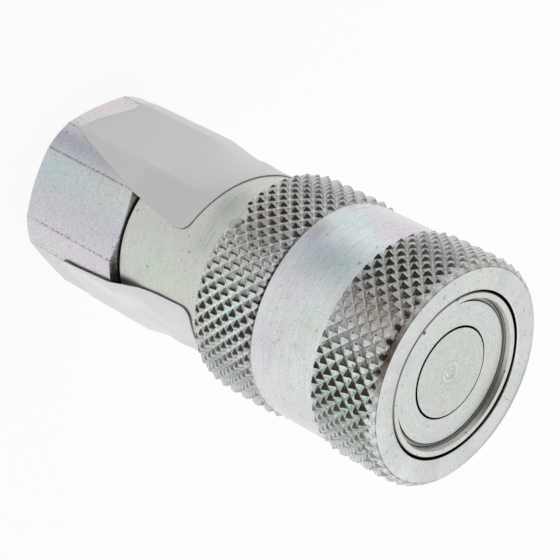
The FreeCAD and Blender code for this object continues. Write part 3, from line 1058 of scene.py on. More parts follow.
@dataclass
class CouplerBody:
    """Turned body with its nose, ball holes and grooves."""

    rear: float = 23.4
    chamber_end: float = 36.0
    chamber_radius: float = 13.6
    radius: float = 16.0
    groove_low: float = 53.0
    groove_high: float = 54.3
    groove_radius: float = 14.9
    step: float = 56.0
    nose_thick: float = 14.75
    nose_step: float = 77.9
    nose_front: float = 13.58
    nose_top: float = 82.73
    nose_edge: float = 0.15
    bore: float = 12.35
    lead_in_depth: float = 0.8
    lead_in_width: float = 0.25
    painted_shade_top: float = 82.15
    painted_shade_low: float = 81.75
    seal_low: float = 68.99
    seal_high: float = 71.85
    seal_radius: float = 13.85
    balls: int = 10
    ball_radius: float = 2.0
    ball_turn: float = 8.0
    ball_place: float = 75.3
    ball_gap: float = 0.05
    hole_taper: float = 1.1
    hole_reach: float = 3.6
    hole_lip: float = 0.15
    lock_turn: float = -17.2
    lock_place: float = 44.5
    lock_centre: float = 16.2
    lock_radius: float = 1.45
    broken_edge: float = 0.10
    ring_step: float = 1.5
    columns: int = 288
    stains_and_shade: tuple[StainOrShade, ...] = (
        StainOrShade(0.0, 33.0, 14.0, 40.0, (0.90, 0.91, 0.90)),
        StainOrShade(30.0, 38.0, 10.0, 9.0, (1.0, 1.0, 0.96)),
        StainOrShade(20.0, 31.0, 12.0, 5.0, (0.94, 1.0, 0.96)),
        # Painted shade: these three patches darken the body just below the sleeve's rear edge near the
        # notch, with a bluish tint.
        StainOrShade(-28.0, 39.8, 15.0, 2.6, (0.62, 0.65, 0.64)),
        StainOrShade(-4.0, 40.0, 12.0, 2.0, (0.88, 0.90, 0.93)),
        StainOrShade(-24.0, 44.5, 16.0, 3.0, (0.80, 0.83, 0.85)),
        StainOrShade(32.0, 30.0, 7.0, 3.5, (0.92, 1.0, 0.97)),
        StainOrShade(22.0, 40.0, 8.0, 3.5, (0.96, 0.99, 0.98)),
    )

    def outline(self) -> Outline:
        """Section of the body, outer side upwards and bore downwards."""
        return [
            (self.chamber_radius, self.rear),
            (self.radius - 0.3, self.rear),
            (self.radius, self.rear + 0.3),
            (self.radius, self.groove_low),
            (self.groove_radius, self.groove_low),
            (self.groove_radius, self.groove_high),
            (self.radius, self.groove_high),
            (self.radius, self.step),
            (self.nose_thick, self.step),
            (self.nose_thick, self.nose_step - self.nose_thick + self.nose_front),
            (self.nose_front, self.nose_step),
            (self.nose_front, self.nose_top - self.nose_edge),
            (self.nose_front - self.nose_edge, self.nose_top),
            (self.bore + self.lead_in_width, self.nose_top),
            (self.bore, self.nose_top - self.lead_in_depth),
            (self.bore, self.painted_shade_low - 0.3),
            (self.bore, self.seal_high),
            (self.seal_radius, self.seal_high),
            (self.seal_radius, self.seal_low),
            (self.bore, self.seal_low),
            (self.bore, self.chamber_end),
            (self.chamber_radius, self.chamber_end),
        ]

    def tone(self, radius: float, z: float) -> float:
        """Brightness of the finish: painted shade in the mouth's lead-in and bore, and on the nose's
        outside behind the sleeve's lip.

        Args:
            radius: Distance from the axis, mm.
            z: Height, mm.

        Returns:
            The brightness, 1 where no shade is painted.
        """
        # Painted shade on the nose's outside behind the sleeve's lip, and in the lead-in and bore below the
        # mouth.
        if radius > self.nose_front - self.nose_edge - 0.02:
            return 0.35 if z > self.nose_top - 4 else 1.0
        if radius > self.bore + self.lead_in_width:
            return 1.0
        return 1.0 - 0.35 * float(smooth_step(self.painted_shade_top, self.painted_shade_low, np.array(z)))

    def build(self, finish: bpy.types.Material) -> None:
        """Makes the piece with its ball holes.

        Args:
            finish: Material of the piece.
        """
        outline = self.outline()
        piece = turned(
            "turned_body", outline, self.columns, self.broken_edge, self.stains_and_shade, self.tone, self.ring_step
        )
        cutters = []
        for k in range(self.balls):
            angle = self.ball_turn + 360 * k / self.balls
            seat = polar(angle, self.bore + self.hole_taper, self.ball_place)
            far = polar(angle, self.bore + self.hole_reach, self.ball_place)
            near = polar(angle, self.bore - self.hole_taper, self.ball_place)
            hole = self.ball_radius + self.ball_gap
            cutters.append(rod(seat, far, hole, hole))
            cutters.append(rod(near, seat + (far - seat) * 0.02, self.ball_radius - self.hole_lip, hole))
        floor = polar(self.lock_turn, self.lock_centre - self.lock_radius, self.lock_place)
        outside = polar(self.lock_turn, self.radius + 1.0, self.lock_place)
        cutters.append(rod(floor, outside, self.lock_radius * 0.98, self.lock_radius * 1.02))
        cut_away(piece, cutters)
        dress(piece, finish)
        settle_on(piece, "coupler_body", Body.COUPLING)


@dataclass(frozen=True)
class KnurlZone:
    """One raised zone of the sleeve with the place of its teeth."""

    low: float
    high: float
    peak_z: float
    peak_turn: float
    pitch_z: float


@dataclass
class LockingSleeve:
    """Knurled sleeve: two zones of pyramids, a smooth band, ramp, land and lip."""

    radius: float = 19.0
    teeth: int = 46
    samples: int = 10
    wear_seed: int = 7
    wear_columns: int = 61
    most_wear: float = 0.12
    tooth_height: float = 0.80
    root_round: float = 0.06
    crest_round: float = 0.10
    band_radius: float = 18.24
    rim: float = 44.4
    front: float = 83.0
    band_low: float = 57.2
    band_high: float = 70.3
    bevel_width: float = 1.45
    bevel_turn_width: float = 0.75
    bevel_turn_drop: float = 0.5
    bevel_length: float = 1.7
    rim_chamfer: float = 0.75
    shoulder_slope: float = 1.6
    guide_radius: float = 16.15
    guide_end: float = 49.8
    room_radius: float = 16.9
    land_radius: float = 14.9
    land_low: float = 68.0
    land_high: float = 72.9
    recess_radius: float = 16.43
    lip_start: float = 81.1
    lip_radius: float = 13.93
    lip_chamfer: float = 0.15
    notch_turn: float = -19.6
    notch_radius: float = 2.3
    travel: float = 3.0
    keyway_radius: float = 17.8
    knurl_tone: float = 0.755
    root_painted_light: float = 0.06
    root_painted_highlight: float = 0.30
    far_root_painted_shade: float = 0.30
    far_painted_light: float = 0.24
    facet_shade: float = 0.55
    bevel_shade_tone: float = 0.94
    bevel_gap_shade: float = 0.30
    bevel_line: float = 0.42
    face_tone: float = 0.93
    wall_shade_tone: float = 0.12
    wall_shade_spread: float = 34.0
    lip_shade_line: float = 0.62
    lip_shade_spread: float = 55.0
    bevel_grit: float = 0.14
    stains_and_shade: tuple[StainOrShade, ...] = (
        # Painted reflection: the band is darkened round -22 degrees, where it would mirror something dark
        # in front of it.
        StainOrShade(-22.0, 64.0, 14.0, 9.0, (0.60, 0.70, 0.71)),
        StainOrShade(-58.0, 67.0, 10.0, 4.5, (1.05, 0.95, 1.02)),
        StainOrShade(-48.0, 61.0, 9.0, 4.0, (0.94, 1.06, 1.05)),
        StainOrShade(-42.0, 66.0, 8.0, 5.0, (1.08, 1.12, 1.14)),
        StainOrShade(-34.0, 58.5, 7.0, 1.6, (0.74, 0.70, 0.68)),
        StainOrShade(-30.0, 59.5, 8.0, 2.5, (0.96, 0.94, 1.0)),
        StainOrShade(-3.0, 60.0, 10.0, 3.0, (1.0, 0.92, 0.98)),
        StainOrShade(8.0, 66.0, 9.0, 3.0, (0.93, 1.0, 0.95)),
        StainOrShade(28.0, 60.0, 9.0, 3.5, (0.98, 0.91, 0.98)),
        StainOrShade(40.0, 66.0, 14.0, 4.0, (1.04, 1.10, 1.06)),
        StainOrShade(52.0, 60.0, 14.0, 4.0, (1.12, 1.04, 1.08)),
        StainOrShade(6.0, 82.70, 20.0, 0.6, (0.17, 0.12, 0.08)),
        StainOrShade(0.0, 63.75, 400.0, 7.0, (0.98, 0.975, 1.0)),
        # Round the knurl zones these patches give the plating's mint tint and also paint light and shade by
        # side: lighter from 20 to 40 degrees, darker near -10 to -22 and at about 60 degrees either way.
        StainOrShade(38.0, 77.0, 20.0, 6.0, (1.10, 1.25, 1.19)),
        StainOrShade(-10.0, 77.0, 12.0, 6.0, (0.82, 0.75, 0.70)),
        StainOrShade(-60.0, 77.0, 16.0, 6.0, (0.84, 0.84, 0.84)),
        StainOrShade(22.0, 77.0, 9.0, 6.0, (1.12, 1.16, 1.12)),
        StainOrShade(-22.0, 50.5, 24.0, 5.5, (0.74, 0.70, 0.67)),
        StainOrShade(-60.0, 50.5, 14.0, 5.5, (0.84, 0.84, 0.85)),
        StainOrShade(26.0, 50.5, 18.0, 5.5, (1.14, 1.28, 1.24)),
        StainOrShade(60.0, 50.5, 14.0, 5.5, (0.86, 0.90, 0.88)),
        StainOrShade(58.0, 77.0, 10.0, 6.0, (0.86, 0.87, 0.86)),
    )
    rear_zone: KnurlZone = KnurlZone(44.4, 57.2, 53.56, 5.03, 2.59)
    front_zone: KnurlZone = KnurlZone(70.3, 83.0, 78.0, 3.75, 2.56)

    def tooth_surface(
        self, zone: KnurlZone, angles: np.ndarray, z: float, wear: np.ndarray
    ) -> tuple[np.ndarray, np.ndarray]:
        """Height of the pyramids above their roots at one height.

        Args:
            zone: The raised zone.
            angles: Degrees round the axis.
            z: Height, mm.
            wear: Share of a tooth's height lost, for each tooth of the zone.

        Returns:
            Height at each angle in mm, and how deep in a root it lies from 0 to 1.
        """
        pitch_turn = 360 / self.teeth
        u = (angles - zone.peak_turn) / pitch_turn
        v = (z - zone.peak_z) / zone.pitch_z
        half_width = math.pi * 2 * self.radius / self.teeth / (2 * math.sqrt(2))
        first = np.abs((u + v + 0.5) % 1 - 0.5)
        second = np.abs((u - v + 0.5) % 1 - 0.5)
        rise_first = (0.5 - first) * 2 * half_width
        rise_second = (0.5 - second) * 2 * half_width
        rise = soft_min(rise_first, rise_second, self.crest_round)
        rise = np.sqrt(np.maximum(rise, 0) ** 2 + self.root_round ** 2) - self.root_round
        row = np.floor(u + v + 0.5).astype(int) % wear.shape[0]
        column = np.floor(u - v + 0.5).astype(int) % wear.shape[1]
        top = self.tooth_height * (1 - wear[row, column])
        rise = soft_min(rise, top, self.crest_round)
        return rise, np.clip(1 - rise / self.tooth_height * 1.6, 0, 1)

    def outer(self, angles: np.ndarray, z: float, wear: np.ndarray) -> tuple[np.ndarray, np.ndarray]:
        """Outer radius of the sleeve and its root mark at one height.

        Args:
            angles: Degrees round the axis.
            z: Height, mm.
            wear: Share of a tooth's height lost, for each tooth of a zone.

        Returns:
            The radius at each angle in mm, and how deep it lies between the teeth.
        """
        band = np.full_like(angles, self.band_radius)
        if self.band_low < z < self.band_high:
            return band, np.zeros_like(angles)
        zone = self.rear_zone if z <= self.band_low else self.front_zone
        rise, depth = self.tooth_surface(zone, angles, z, wear)
        radius = self.radius - self.tooth_height + rise
        rim = self.radius - self.rim_chamfer + (z - self.rim)
        face_radius = self.radius - self.bevel_width
        knee = face_radius + self.bevel_turn_width
        low_slope = (self.radius - knee) / (self.bevel_length - self.bevel_turn_drop)
        bevel = min(
            face_radius + (self.front - z) * self.bevel_turn_width / self.bevel_turn_drop,
            knee + (self.front - self.bevel_turn_drop - z) * low_slope,
        )
        from_band = self.band_low - z if z <= self.band_low else z - self.band_high
        shoulder = self.band_radius + self.shoulder_slope * from_band
        limit = min(rim, bevel, shoulder)
        turned_away = radius > limit
        return np.minimum(radius, limit), np.where(turned_away, 0.3, depth)

    def tone(self, angles: np.ndarray, z: float, depth: np.ndarray) -> np.ndarray:
        """Brightness of the finish at one height, with painted light and shade on the knurl, the band's
        wall and the bevel.

        Args:
            angles: Degrees round the axis.
            z: Height, mm.
            depth: How deep each point lies between the teeth.

        Returns:
            One value for each angle.
        """
        off = (angles - 4 + 180) % 360 - 180
        # Painted shade on the rear zone's wall under the band's edge, darkest on the -Y side.
        if -0.3 < z - self.band_low < 0.02:
            share = np.exp(-((off / self.wall_shade_spread) ** 2))
            return self.knurl_tone - (self.knurl_tone - self.wall_shade_tone) * share
        if z > self.front - 0.02:
            return np.full_like(angles, self.face_tone)
        if self.band_low < z < self.band_high:
            return np.ones_like(angles)
        # The bevel: painted shade over it and between the teeth's cut ends, a dark line just below the
        # face, and random grit.
        if z > self.front - 0.44:
            edge = self.bevel_line * math.exp(-(((self.front - z - 0.06) / 0.05) ** 2))
            between = 0.5 - 0.5 * np.cos(np.radians((angles - self.front_zone.peak_turn) * self.teeth))
            grit = self.bevel_grit
            rough = np.random.default_rng(int(z * 100)).uniform(-grit, grit, len(angles))
            return self.bevel_shade_tone - edge - self.bevel_gap_shade * between + rough
        # Painted light and shade by side: light and highlight lines in the roots where the knurl faces -Y,
        # shade in the roots and light on the teeth where it turns away past about 50 degrees.
        away = np.abs((angles + 180) % 360 - 180)
        turned_off = smooth_step(42.0, 62.0, away)
        gain = self.root_painted_light - self.far_root_painted_shade * turned_off
        line = self.root_painted_highlight * (1 - turned_off) * smooth_step(0.80, 0.97, depth)
        tone = self.knurl_tone + self.far_painted_light * turned_off + gain * depth + line
        # Painted shade on the facets that look back to -Y, on the sides 44 to 92 degrees off -Y.
        share = smooth_step(44.0, 56.0, away) * smooth_step(92.0, 76.0, away)
        return tone * (1 - self.facet_shade * share * self.looks_forward(angles, z))

    def looks_forward(self, angles: np.ndarray, z: float) -> np.ndarray:
        """Tells the facets that look back to the -Y side and up, the ones that get painted shade.

        Args:
            angles: Degrees round the axis.
            z: Height, mm.

        Returns:
            1 on those facets and 0 on the others.
        """
        zone = self.rear_zone if z <= self.band_low else self.front_zone
        u = (angles - zone.peak_turn) * self.teeth / 360
        v = (z - zone.peak_z) / zone.pitch_z
        first = (u + v + 0.5) % 1 - 0.5
        second = (u - v + 0.5) % 1 - 0.5
        low_side = (np.abs(second) > np.abs(first)) & (second < 0)
        high_side = (np.abs(first) > np.abs(second)) & (first > 0)
        return np.where((angles + 180) % 360 - 180 > 0, low_side, high_side).astype(float)

    def inner_tone(self, angles: np.ndarray, radius: float, z: float) -> Any:
        """Brightness of the finish inside the sleeve: painted shade behind the lip's edge, and a painted
        dark line on the face beside the lip, darkest on the -Y side.

        Args:
            angles: Degrees round the axis.
            radius: Distance from the axis, mm.
            z: Height, mm.

        Returns:
            One value, or one for each angle.
        """
        inside = radius - self.lip_radius - self.lip_chamfer
        if inside > 0 and z > self.front - 0.02:
            off = (angles + 180) % 360 - 180
            line = float(smooth_step(0.24, 0.14, np.array(inside)))
            return self.face_tone * (1 - self.lip_shade_line * line * np.exp(-((off / self.lip_shade_spread) ** 2)))
        return 1.0 - 0.7 * float(smooth_step(self.front - 0.05, self.front - 0.4, np.array(z)))

    def heights(self) -> np.ndarray:
        """Heights of the outer rings, in step with the teeth."""
        rows: list[float] = []
        for zone in (self.rear_zone, self.front_zone):
            step = zone.pitch_z / self.samples
            first = math.ceil((zone.low - zone.peak_z) / step)
            last = math.floor((zone.high - zone.peak_z) / step)
            rows += [zone.peak_z + k * step for k in range(first, last + 1)]
            rows += [zone.low, zone.high]
        edges = [self.rim + 0.12, self.front - self.bevel_length]
        edges += [self.front - step for step in (0.04, 0.08, 0.14, 0.3, 0.44, 0.5, 0.75, 1.0, 1.3)]
        edges += [self.band_low - 0.18, self.band_low - 0.45, self.band_low + 0.06]
        edges += [self.band_high + 0.18, self.band_high + 0.45, self.band_high - 0.06]
        band = list(np.linspace(self.band_low + 0.4, self.band_high - 0.4, 24))
        every = np.unique(np.round(rows + edges + band, 4))
        keep = [every[0]]
        for z in every[1:]:
            if z - keep[-1] > 0.03:
                keep.append(z)
        keep[-1] = self.front
        return np.array(keep)

    def build(self, finish: bpy.types.Material) -> None:
        """Makes the sleeve with its notch and the keyway inside.

        Args:
            finish: Material of the piece.
        """
        columns = self.teeth * self.samples
        skin = RingSkin(columns, start_angle=self.front_zone.peak_turn, stains_and_shade=self.stains_and_shade)
        angles = skin.angles
        shape = (self.teeth, self.wear_columns)
        wear = np.random.default_rng(self.wear_seed).uniform(0.0, self.most_wear, shape)
        for z in self.heights():
            radius, depth = self.outer(angles, z, wear)
            knurled = float(z < self.band_low or self.band_high < z < self.front - 0.02)
            skin.ring(radius, z, knurled, self.tone(angles, z, depth), z < self.front - 0.02)
        inner = softened([
            (self.radius - self.bevel_width, self.front),
            (self.lip_radius + self.lip_chamfer + 0.26, self.front),
            (self.lip_radius + self.lip_chamfer, self.front),
            (self.lip_radius, self.front - self.lip_chamfer),
            (self.lip_radius, self.lip_start),
            (self.recess_radius, self.lip_start),
            (self.recess_radius, self.land_high + self.recess_radius - self.land_radius),
            (self.land_radius, self.land_high),
            (self.land_radius, self.land_low),
            (self.room_radius, self.land_low),
            (self.room_radius, self.guide_end),
            (self.guide_radius, self.guide_end),
            (self.guide_radius, self.rim),
            (self.radius - self.rim_chamfer, self.rim),
        ], 0.08, 2)
        skin.outline(inner[5:-5], lambda radius, z: self.inner_tone(angles, radius, z), False)
        piece = skin.build("knurled_sleeve", split=True)
        notch_end = self.rim + self.notch_radius
        reach = self.radius + 1
        start = self.guide_radius - 1
        below = self.rim - 1
        key_end = notch_end + self.travel
        notch = stadium(self.notch_turn, self.notch_radius, below, notch_end, start, reach)
        keyway = stadium(self.notch_turn, self.notch_radius, below, key_end, start, self.keyway_radius)
        cut_away(piece, [notch, keyway])
        dress(piece, finish)
        settle_on(piece, "locking_sleeve", Body.SLEEVE)


@dataclass
class Valve:
    """Sliding valve sleeve and the fixed stem that it shuts against."""

    face: float = 81.7
    sleeve_radius: float = 12.28
    sleeve_rear: float = 60.0
    inner_radius: float = 10.93
    spring_seat: float = 68.0
    edge: float = 0.6
    edge_wall: float = 0.20
    edge_drop: float = 0.12
    mouth_chamfer: float = 0.14
    mouth_radius: float = 7.67
    seat_top: float = 80.2
    seat_low: float = 79.4
    neck_radius: float = 6.91
    neck_low: float = 74.8
    throat_radius: float = 9.13
    throat_high: float = 72.2
    head_radius: float = 7.40
    head_proud: float = 0.05
    stem_neck: float = 6.79
    groove_high: float = 78.4
    groove_low: float = 76.2
    groove_radius: float = 5.39
    taper_low: float = 71.8
    shaft_radius: float = 4.0
    tail_radius: float = 3.0
    tail_low: float = 25.1
    shaft_low: float = 36.0
    pip_radius: float = 0.75
    pip_groove: float = 1.55
    painted_gap_shade: float = 0.9
    ring_edge: float = 0.08
    broken_edge: float = 0.09
    stem_columns: int = 192
    lathe_rings: tuple[tuple[float, float, float], ...] = (
        (0.42, 0.14, -0.20),
        (0.72, 0.14, 0.12),
        (1.0, 0.14, -0.24),
        (1.5, 0.25, 0.08),
        (1.95, 0.16, -0.08),
    )

    def tone(self, radius: float, z: float) -> float:
        """Brightness of the finish: painted shade in the gaps below the faces, less on the ring's outer
        ledge.

        Args:
            radius: Distance from the axis, mm.
            z: Height, mm.

        Returns:
            The brightness, 1 where no shade is painted.
        """
        if radius < self.head_radius + 0.01:
            top = self.face + self.head_proud - 0.03
            return 1.0 - self.painted_gap_shade * float(smooth_step(top, self.face - 0.02, np.array(z)))
        if radius < self.mouth_radius + self.mouth_chamfer:
            return 1.0 - self.painted_gap_shade * float(smooth_step(self.face - 0.02, self.face - 0.11, np.array(z)))
        below = float(smooth_step(self.face - 0.01, self.face - 0.06, np.array(z)))
        wall = self.sleeve_radius - self.edge
        ledge = float(smooth_step(wall + 0.10, wall + 0.26, np.array(radius)))
        return 1.0 - below * (0.94 - 0.90 * ledge)

    def build_sleeve(self, finish: bpy.types.Material) -> None:
        """Makes the sliding ring.

        Args:
            finish: Material of the piece.
        """
        outline = [
            (self.inner_radius, self.sleeve_rear),
            (self.sleeve_radius - self.edge, self.sleeve_rear),
            (self.sleeve_radius, self.sleeve_rear + self.edge),
            (self.sleeve_radius, self.face - self.edge_wall - self.edge_drop),
            (self.sleeve_radius - self.edge, self.face - self.edge_wall),
            (self.sleeve_radius - self.edge, self.face),
            (self.mouth_radius + self.mouth_chamfer, self.face),
            (self.mouth_radius, self.face - 0.7 * self.mouth_chamfer),
            (self.mouth_radius, self.seat_top),
            (self.neck_radius, self.seat_low),
            (self.neck_radius, self.neck_low),
            (self.throat_radius, self.throat_high),
            (self.throat_radius, self.spring_seat),
            (self.inner_radius, self.spring_seat),
        ]
        piece = turned("valve_ring", outline, edge=self.ring_edge, tone=self.tone)
        dress(piece, finish)
        settle_on(piece, "valve_sleeve", Body.VALVE)

    def face_relief(self, radius: float) -> float:
        """Relief of the lathe marks in the stem's face.

        Args:
            radius: Distance from the axis, mm.

        Returns:
            Height above the flat face, mm.
        """
        pip = 0.05 * math.exp(-((radius / self.pip_radius) ** 4))
        ring = -0.12 * math.exp(-(((radius - self.pip_groove) / 0.30) ** 2))
        inner = -0.16 * math.exp(-(((radius - 0.85) / 0.20) ** 2))
        return pip + ring + inner - 0.05

    def face_tone(self, radius: float) -> float:
        """Brightness of the lathe marks in the stem's face.

        Args:
            radius: Distance from the axis, mm.

        Returns:
            The brightness, 1 between the marks.
        """
        tone = 1.0
        for place, width, gain in self.lathe_rings:
            tone += gain * math.exp(-(((radius - place) / width) ** 2))
        return tone

    def build_stem(self, finish: bpy.types.Material) -> None:
        """Makes the stem with the lathe's centre mark in its face.

        Args:
            finish: Material of the piece.
        """
        bottom = [
            (0.0, self.tail_low),
            (self.tail_radius - 0.35, self.tail_low),
            (self.tail_radius, self.tail_low + 0.35),
            (self.tail_radius, self.shaft_low),
            (self.shaft_radius, self.shaft_low),
            (self.shaft_radius, self.taper_low),
            (self.stem_neck, self.neck_low),
            (self.stem_neck, self.groove_low),
            (self.groove_radius, self.groove_low),
            (self.groove_radius, self.groove_high),
            (self.stem_neck, self.groove_high),
            (self.stem_neck, self.seat_low),
            (self.head_radius, self.seat_top),
            (self.head_radius, self.face + self.head_proud),
            (0.0, self.face + self.head_proud),
        ]
        skin = RingSkin(self.stem_columns, closed=False)
        skin.outline(softened(bottom, self.broken_edge)[:-1], self.tone)
        for radius in np.concatenate([np.linspace(6.9, 2.4, 6), np.linspace(2.2, 0.1, 29)]):
            relief = self.face_relief(radius) * smooth_step(3.2, 2.2, np.array(radius))
            skin.ring(radius, self.face + self.head_proud + relief, 0.0, self.face_tone(radius))
        skin.ring(0.0, self.face + self.head_proud + self.face_relief(0.0))
        piece = skin.build("valve_stem_turned")
        dress(piece, finish)
        settle_on(piece, "valve_stem", Body.COUPLING)


@dataclass(frozen=True)
class Crease:
    """Soft ridge in the label from one point to another."""

    start_angle: float
    start_z: float
    end_angle: float
    end_z: float
    height: float
    width: float

    def lift(self, angle: np.ndarray, z: np.ndarray, radius: float) -> np.ndarray:
        """Height of the ridge above the sheet.

        Args:
            angle: Degrees round the axis.
            z: Heights, mm.
            radius: Radius that turns degrees into millimetres.

        Returns:
            Lift in mm.
        """
        scale = math.radians(1) * radius
        ax, ay = self.start_angle * scale, self.start_z
        bx, by = self.end_angle * scale, self.end_z
        dx, dy = bx - ax, by - ay
        along = np.clip(((angle * scale - ax) * dx + (z - ay) * dy) / (dx * dx + dy * dy), 0, 1)
        off = np.hypot(angle * scale - ax - along * dx, z - ay - along * dy)
        fade = np.sin(np.pi * np.clip(along, 0.04, 0.96)) ** 0.5
        return self.height * np.exp(-((off / self.width) ** 2)) * fade


@dataclass
class Label:
    """Bare paper label wrapped round the back, its two ends on the visible side."""

    adapter: Adapter
    body_radius: float = 16.0
    gap: float = 0.05
    thickness: float = 0.14
    start: float = 48.0
    stop: float = 356.0
    tent_low: float = 22.78
    tent_turns: tuple[float, ...] = (-90.0, -70.0, -45.0, -31.0, -25.0, -19.0, 0.0, 60.0, 90.0)
    tent_ends: tuple[float, ...] = (30.0, 31.0, 34.0, 37.5, 35.5, 26.8, 26.0, 30.0, 30.0)
    outer_edge_shade: float = 0.4
    rear_corner: float = 1.3
    front_corner: float = 2.1
    columns: int = 260
    rows: int = 70
    creases: tuple[Crease, ...] = (
        Crease(-10.5, 21.2, -20.5, 21.6, 0.26, 0.6),
        Crease(-19.0, 21.8, -25.5, 23.2, 0.28, 0.7),
        Crease(-24.5, 22.6, -26.5, 29.0, 0.20, 0.8),
        Crease(-27.0, 22.5, -45.0, 22.0, 0.12, 0.8),
        Crease(-60.0, 12.0, -24.0, 22.0, 0.10, 1.2),
        Crease(-92.0, 30.0, -70.0, 36.0, 0.30, 1.6),
        Crease(84.0, 31.0, 72.0, 40.0, 0.30, 0.7),
        Crease(54.0, 12.5, 68.0, 24.0, 0.22, 0.8),
        Crease(50.0, 22.0, 68.0, 26.0, 0.30, 0.8),
        Crease(46.0, 27.0, 64.0, 36.0, 0.16, 1.0),
    )

    def upper_end(self, z: np.ndarray) -> np.ndarray:
        """Angle of the upper end's edge, degrees."""
        return np.interp(z, [3.5, 23.0, 34.6, 38.0], [-24.6, -7.0, -0.4, 0.6])

    def lower_end(self, z: np.ndarray) -> np.ndarray:
        """Angle of the lower end's edge, degrees."""
        return np.interp(z, [10.6, 14.5, 22.0, 25.6, 32.5, 40.9], [50.4, 49.6, 46.9, 44.6, 41.2, 39.6])

    def rear_edge(self, angle: np.ndarray) -> np.ndarray:
        """Height of the rear edge; the angle runs from the lower end round the back to 360."""
        return np.interp(angle, [50, 70, 200, 290, 314, 340], [9.6, 9.0, 5.5, 4.4, 6.0, 4.0])

    def front_edge(self, angle: np.ndarray) -> np.ndarray:
        """Height of the front edge at the same angles."""
        places = [40, 90, 200, 290, 330, 352, 362]
        return np.interp(angle, places, [40.9, 40.7, 39.2, 38.3, 36.8, 35.8, 35.2])

    def rounding(self, from_end: np.ndarray, radius: float) -> np.ndarray:
        """How far a rounded corner draws an edge in.

        Args:
            from_end: Distances from the label's end, mm.
            radius: Radius of the corner, mm.

        Returns:
            Distances that the edge is drawn in by, mm.
        """
        inside = np.clip(radius - from_end, 0, radius)
        return radius - np.sqrt(np.maximum(radius ** 2 - inside ** 2, 0))

    def support(self, angle: np.ndarray, z: np.ndarray) -> np.ndarray:
        """Radius of what carries the label: hexagon, open groove, body.

        Args:
            angle: Degrees round the axis.
            z: Heights, mm.

        Returns:
            One radius for each point, mm.
        """
        flat = self.adapter.across_flats / 2
        hexagon = flat / np.cos(np.radians(self.adapter.flat_angle(angle)))
        hexagon = np.minimum(hexagon, self.adapter.corner_radius)
        signed = (angle + 180) % 360 - 180
        reach = np.interp(signed, self.tent_turns, self.tent_ends) - self.tent_low
        line = np.clip((z - self.tent_low) / reach, 0, 1)
        share = 0.75 * line + 0.25 * line * line * (3 - 2 * line)
        return hexagon * (1 - share) + self.body_radius * share

    def shade(self, angle: np.ndarray, z: np.ndarray) -> np.ndarray:
        """Painted light and shade on the sheet's folds: on the upper end a darker flap beyond a lighter
        ridge, on the lower end a lighter part before a darker fold line.

        Args:
            angle: Degrees round the axis, from -180 to 180.
            z: Heights, mm.

        Returns:
            One tone for each point.
        """
        fold_heights = [21.0, 21.9, 23.0, 27.0, 32.5, 35.5, 38.0]
        fold = np.interp(z, fold_heights, [-9.0, -19.0, -24.5, -25.5, -27.0, -34.0, -42.0])
        beyond = (angle - fold) * math.radians(1) * self.body_radius
        flap = smooth_step(-0.4, 0.4, beyond) * smooth_step(21.2, 23.4, z)
        ridge = np.exp(-((beyond / 0.45) ** 2)) * smooth_step(21.2, 22.2, z)
        upper = np.where(angle < 5, 1 - 0.035 * flap + 0.035 * ridge, 1.0)
        low_fold = np.interp(z, [9.0, 14.0, 24.0, 28.0, 36.0], [54.0, 58.0, 68.0, 61.0, 66.0])
        low_side = (angle - low_fold) * math.radians(1) * self.body_radius
        lower = 1.07 - 0.07 * smooth_step(-0.4, 0.4, low_side) - 0.03 * np.exp(-((low_side / 0.4) ** 2))
        return np.where(angle > 30, lower, upper)

    def build(self, finish: bpy.types.Material) -> None:
        """Makes the sheet.

        Args:
            finish: Material of the piece.
        """
        s = np.linspace(0, 1, self.columns)
        s = 0.5 - 0.5 * np.cos(np.pi * s) * 0.35 - 0.5 * (1 - 2 * s) * 0.65
        t = np.linspace(0, 1, self.rows)
        s_grid, t_grid = np.meshgrid(s, t)
        middle = self.start + s_grid * (self.stop - self.start)
        low = self.rear_edge(middle)
        high = self.front_edge(middle)
        from_end = np.minimum(s_grid, 1 - s_grid) * math.radians(self.stop - self.start) * self.body_radius
        low = low + self.rounding(from_end, self.rear_corner)
        high = high - self.rounding(from_end, self.front_corner)
        z = low + t_grid * (high - low)
        first = self.lower_end(z)
        last = self.upper_end(z) + 360
        angle = first + s_grid * (last - first)

        radius = self.support(angle, z) + self.gap
        scale = math.radians(1) * self.body_radius
        from_low = (angle - first) * scale
        from_high = (last - angle) * scale
        open_end = np.interp(z, [9, 14, 21, 26, 32, 40], [0.24, 0.22, 0.25, 0.34, 0.20, 0.10])
        radius += open_end * (1 - smooth_step(0.0, 6.5, from_low)) ** 1.5
        stuck_end = np.interp(z, [4, 20, 23, 26, 34], [0.02, 0.10, 0.25, 0.12, 0.10])
        radius += stuck_end * (1 - smooth_step(0.0, 3.0, from_high)) ** 1.5
        signed = np.where(angle > 200, angle - 360, angle)
        for crease in self.creases:
            radius += crease.lift(signed, z, self.body_radius)

        turn = np.radians(angle)
        inner = np.stack([radius * np.sin(turn), -radius * np.cos(turn), z], axis=2) * MM
        thick = radius + self.thickness
        outer = np.stack([thick * np.sin(turn), -thick * np.cos(turn), z], axis=2) * MM
        count = self.rows * self.columns
        index = np.arange(count).reshape(self.rows, self.columns)
        a, b = index[:-1, :-1].ravel(), index[:-1, 1:].ravel()
        c, d = index[1:, 1:].ravel(), index[1:, :-1].ravel()
        faces = [np.stack([a, b, c, d], axis=1) + count, np.stack([d, c, b, a], axis=1)]
        border = np.concatenate([index[0, :], index[1:, -1], index[-1, -2::-1], index[-2:0:-1, 0]])
        after = np.roll(border, -1)
        faces.append(np.stack([border, after, after + count, border + count], axis=1))
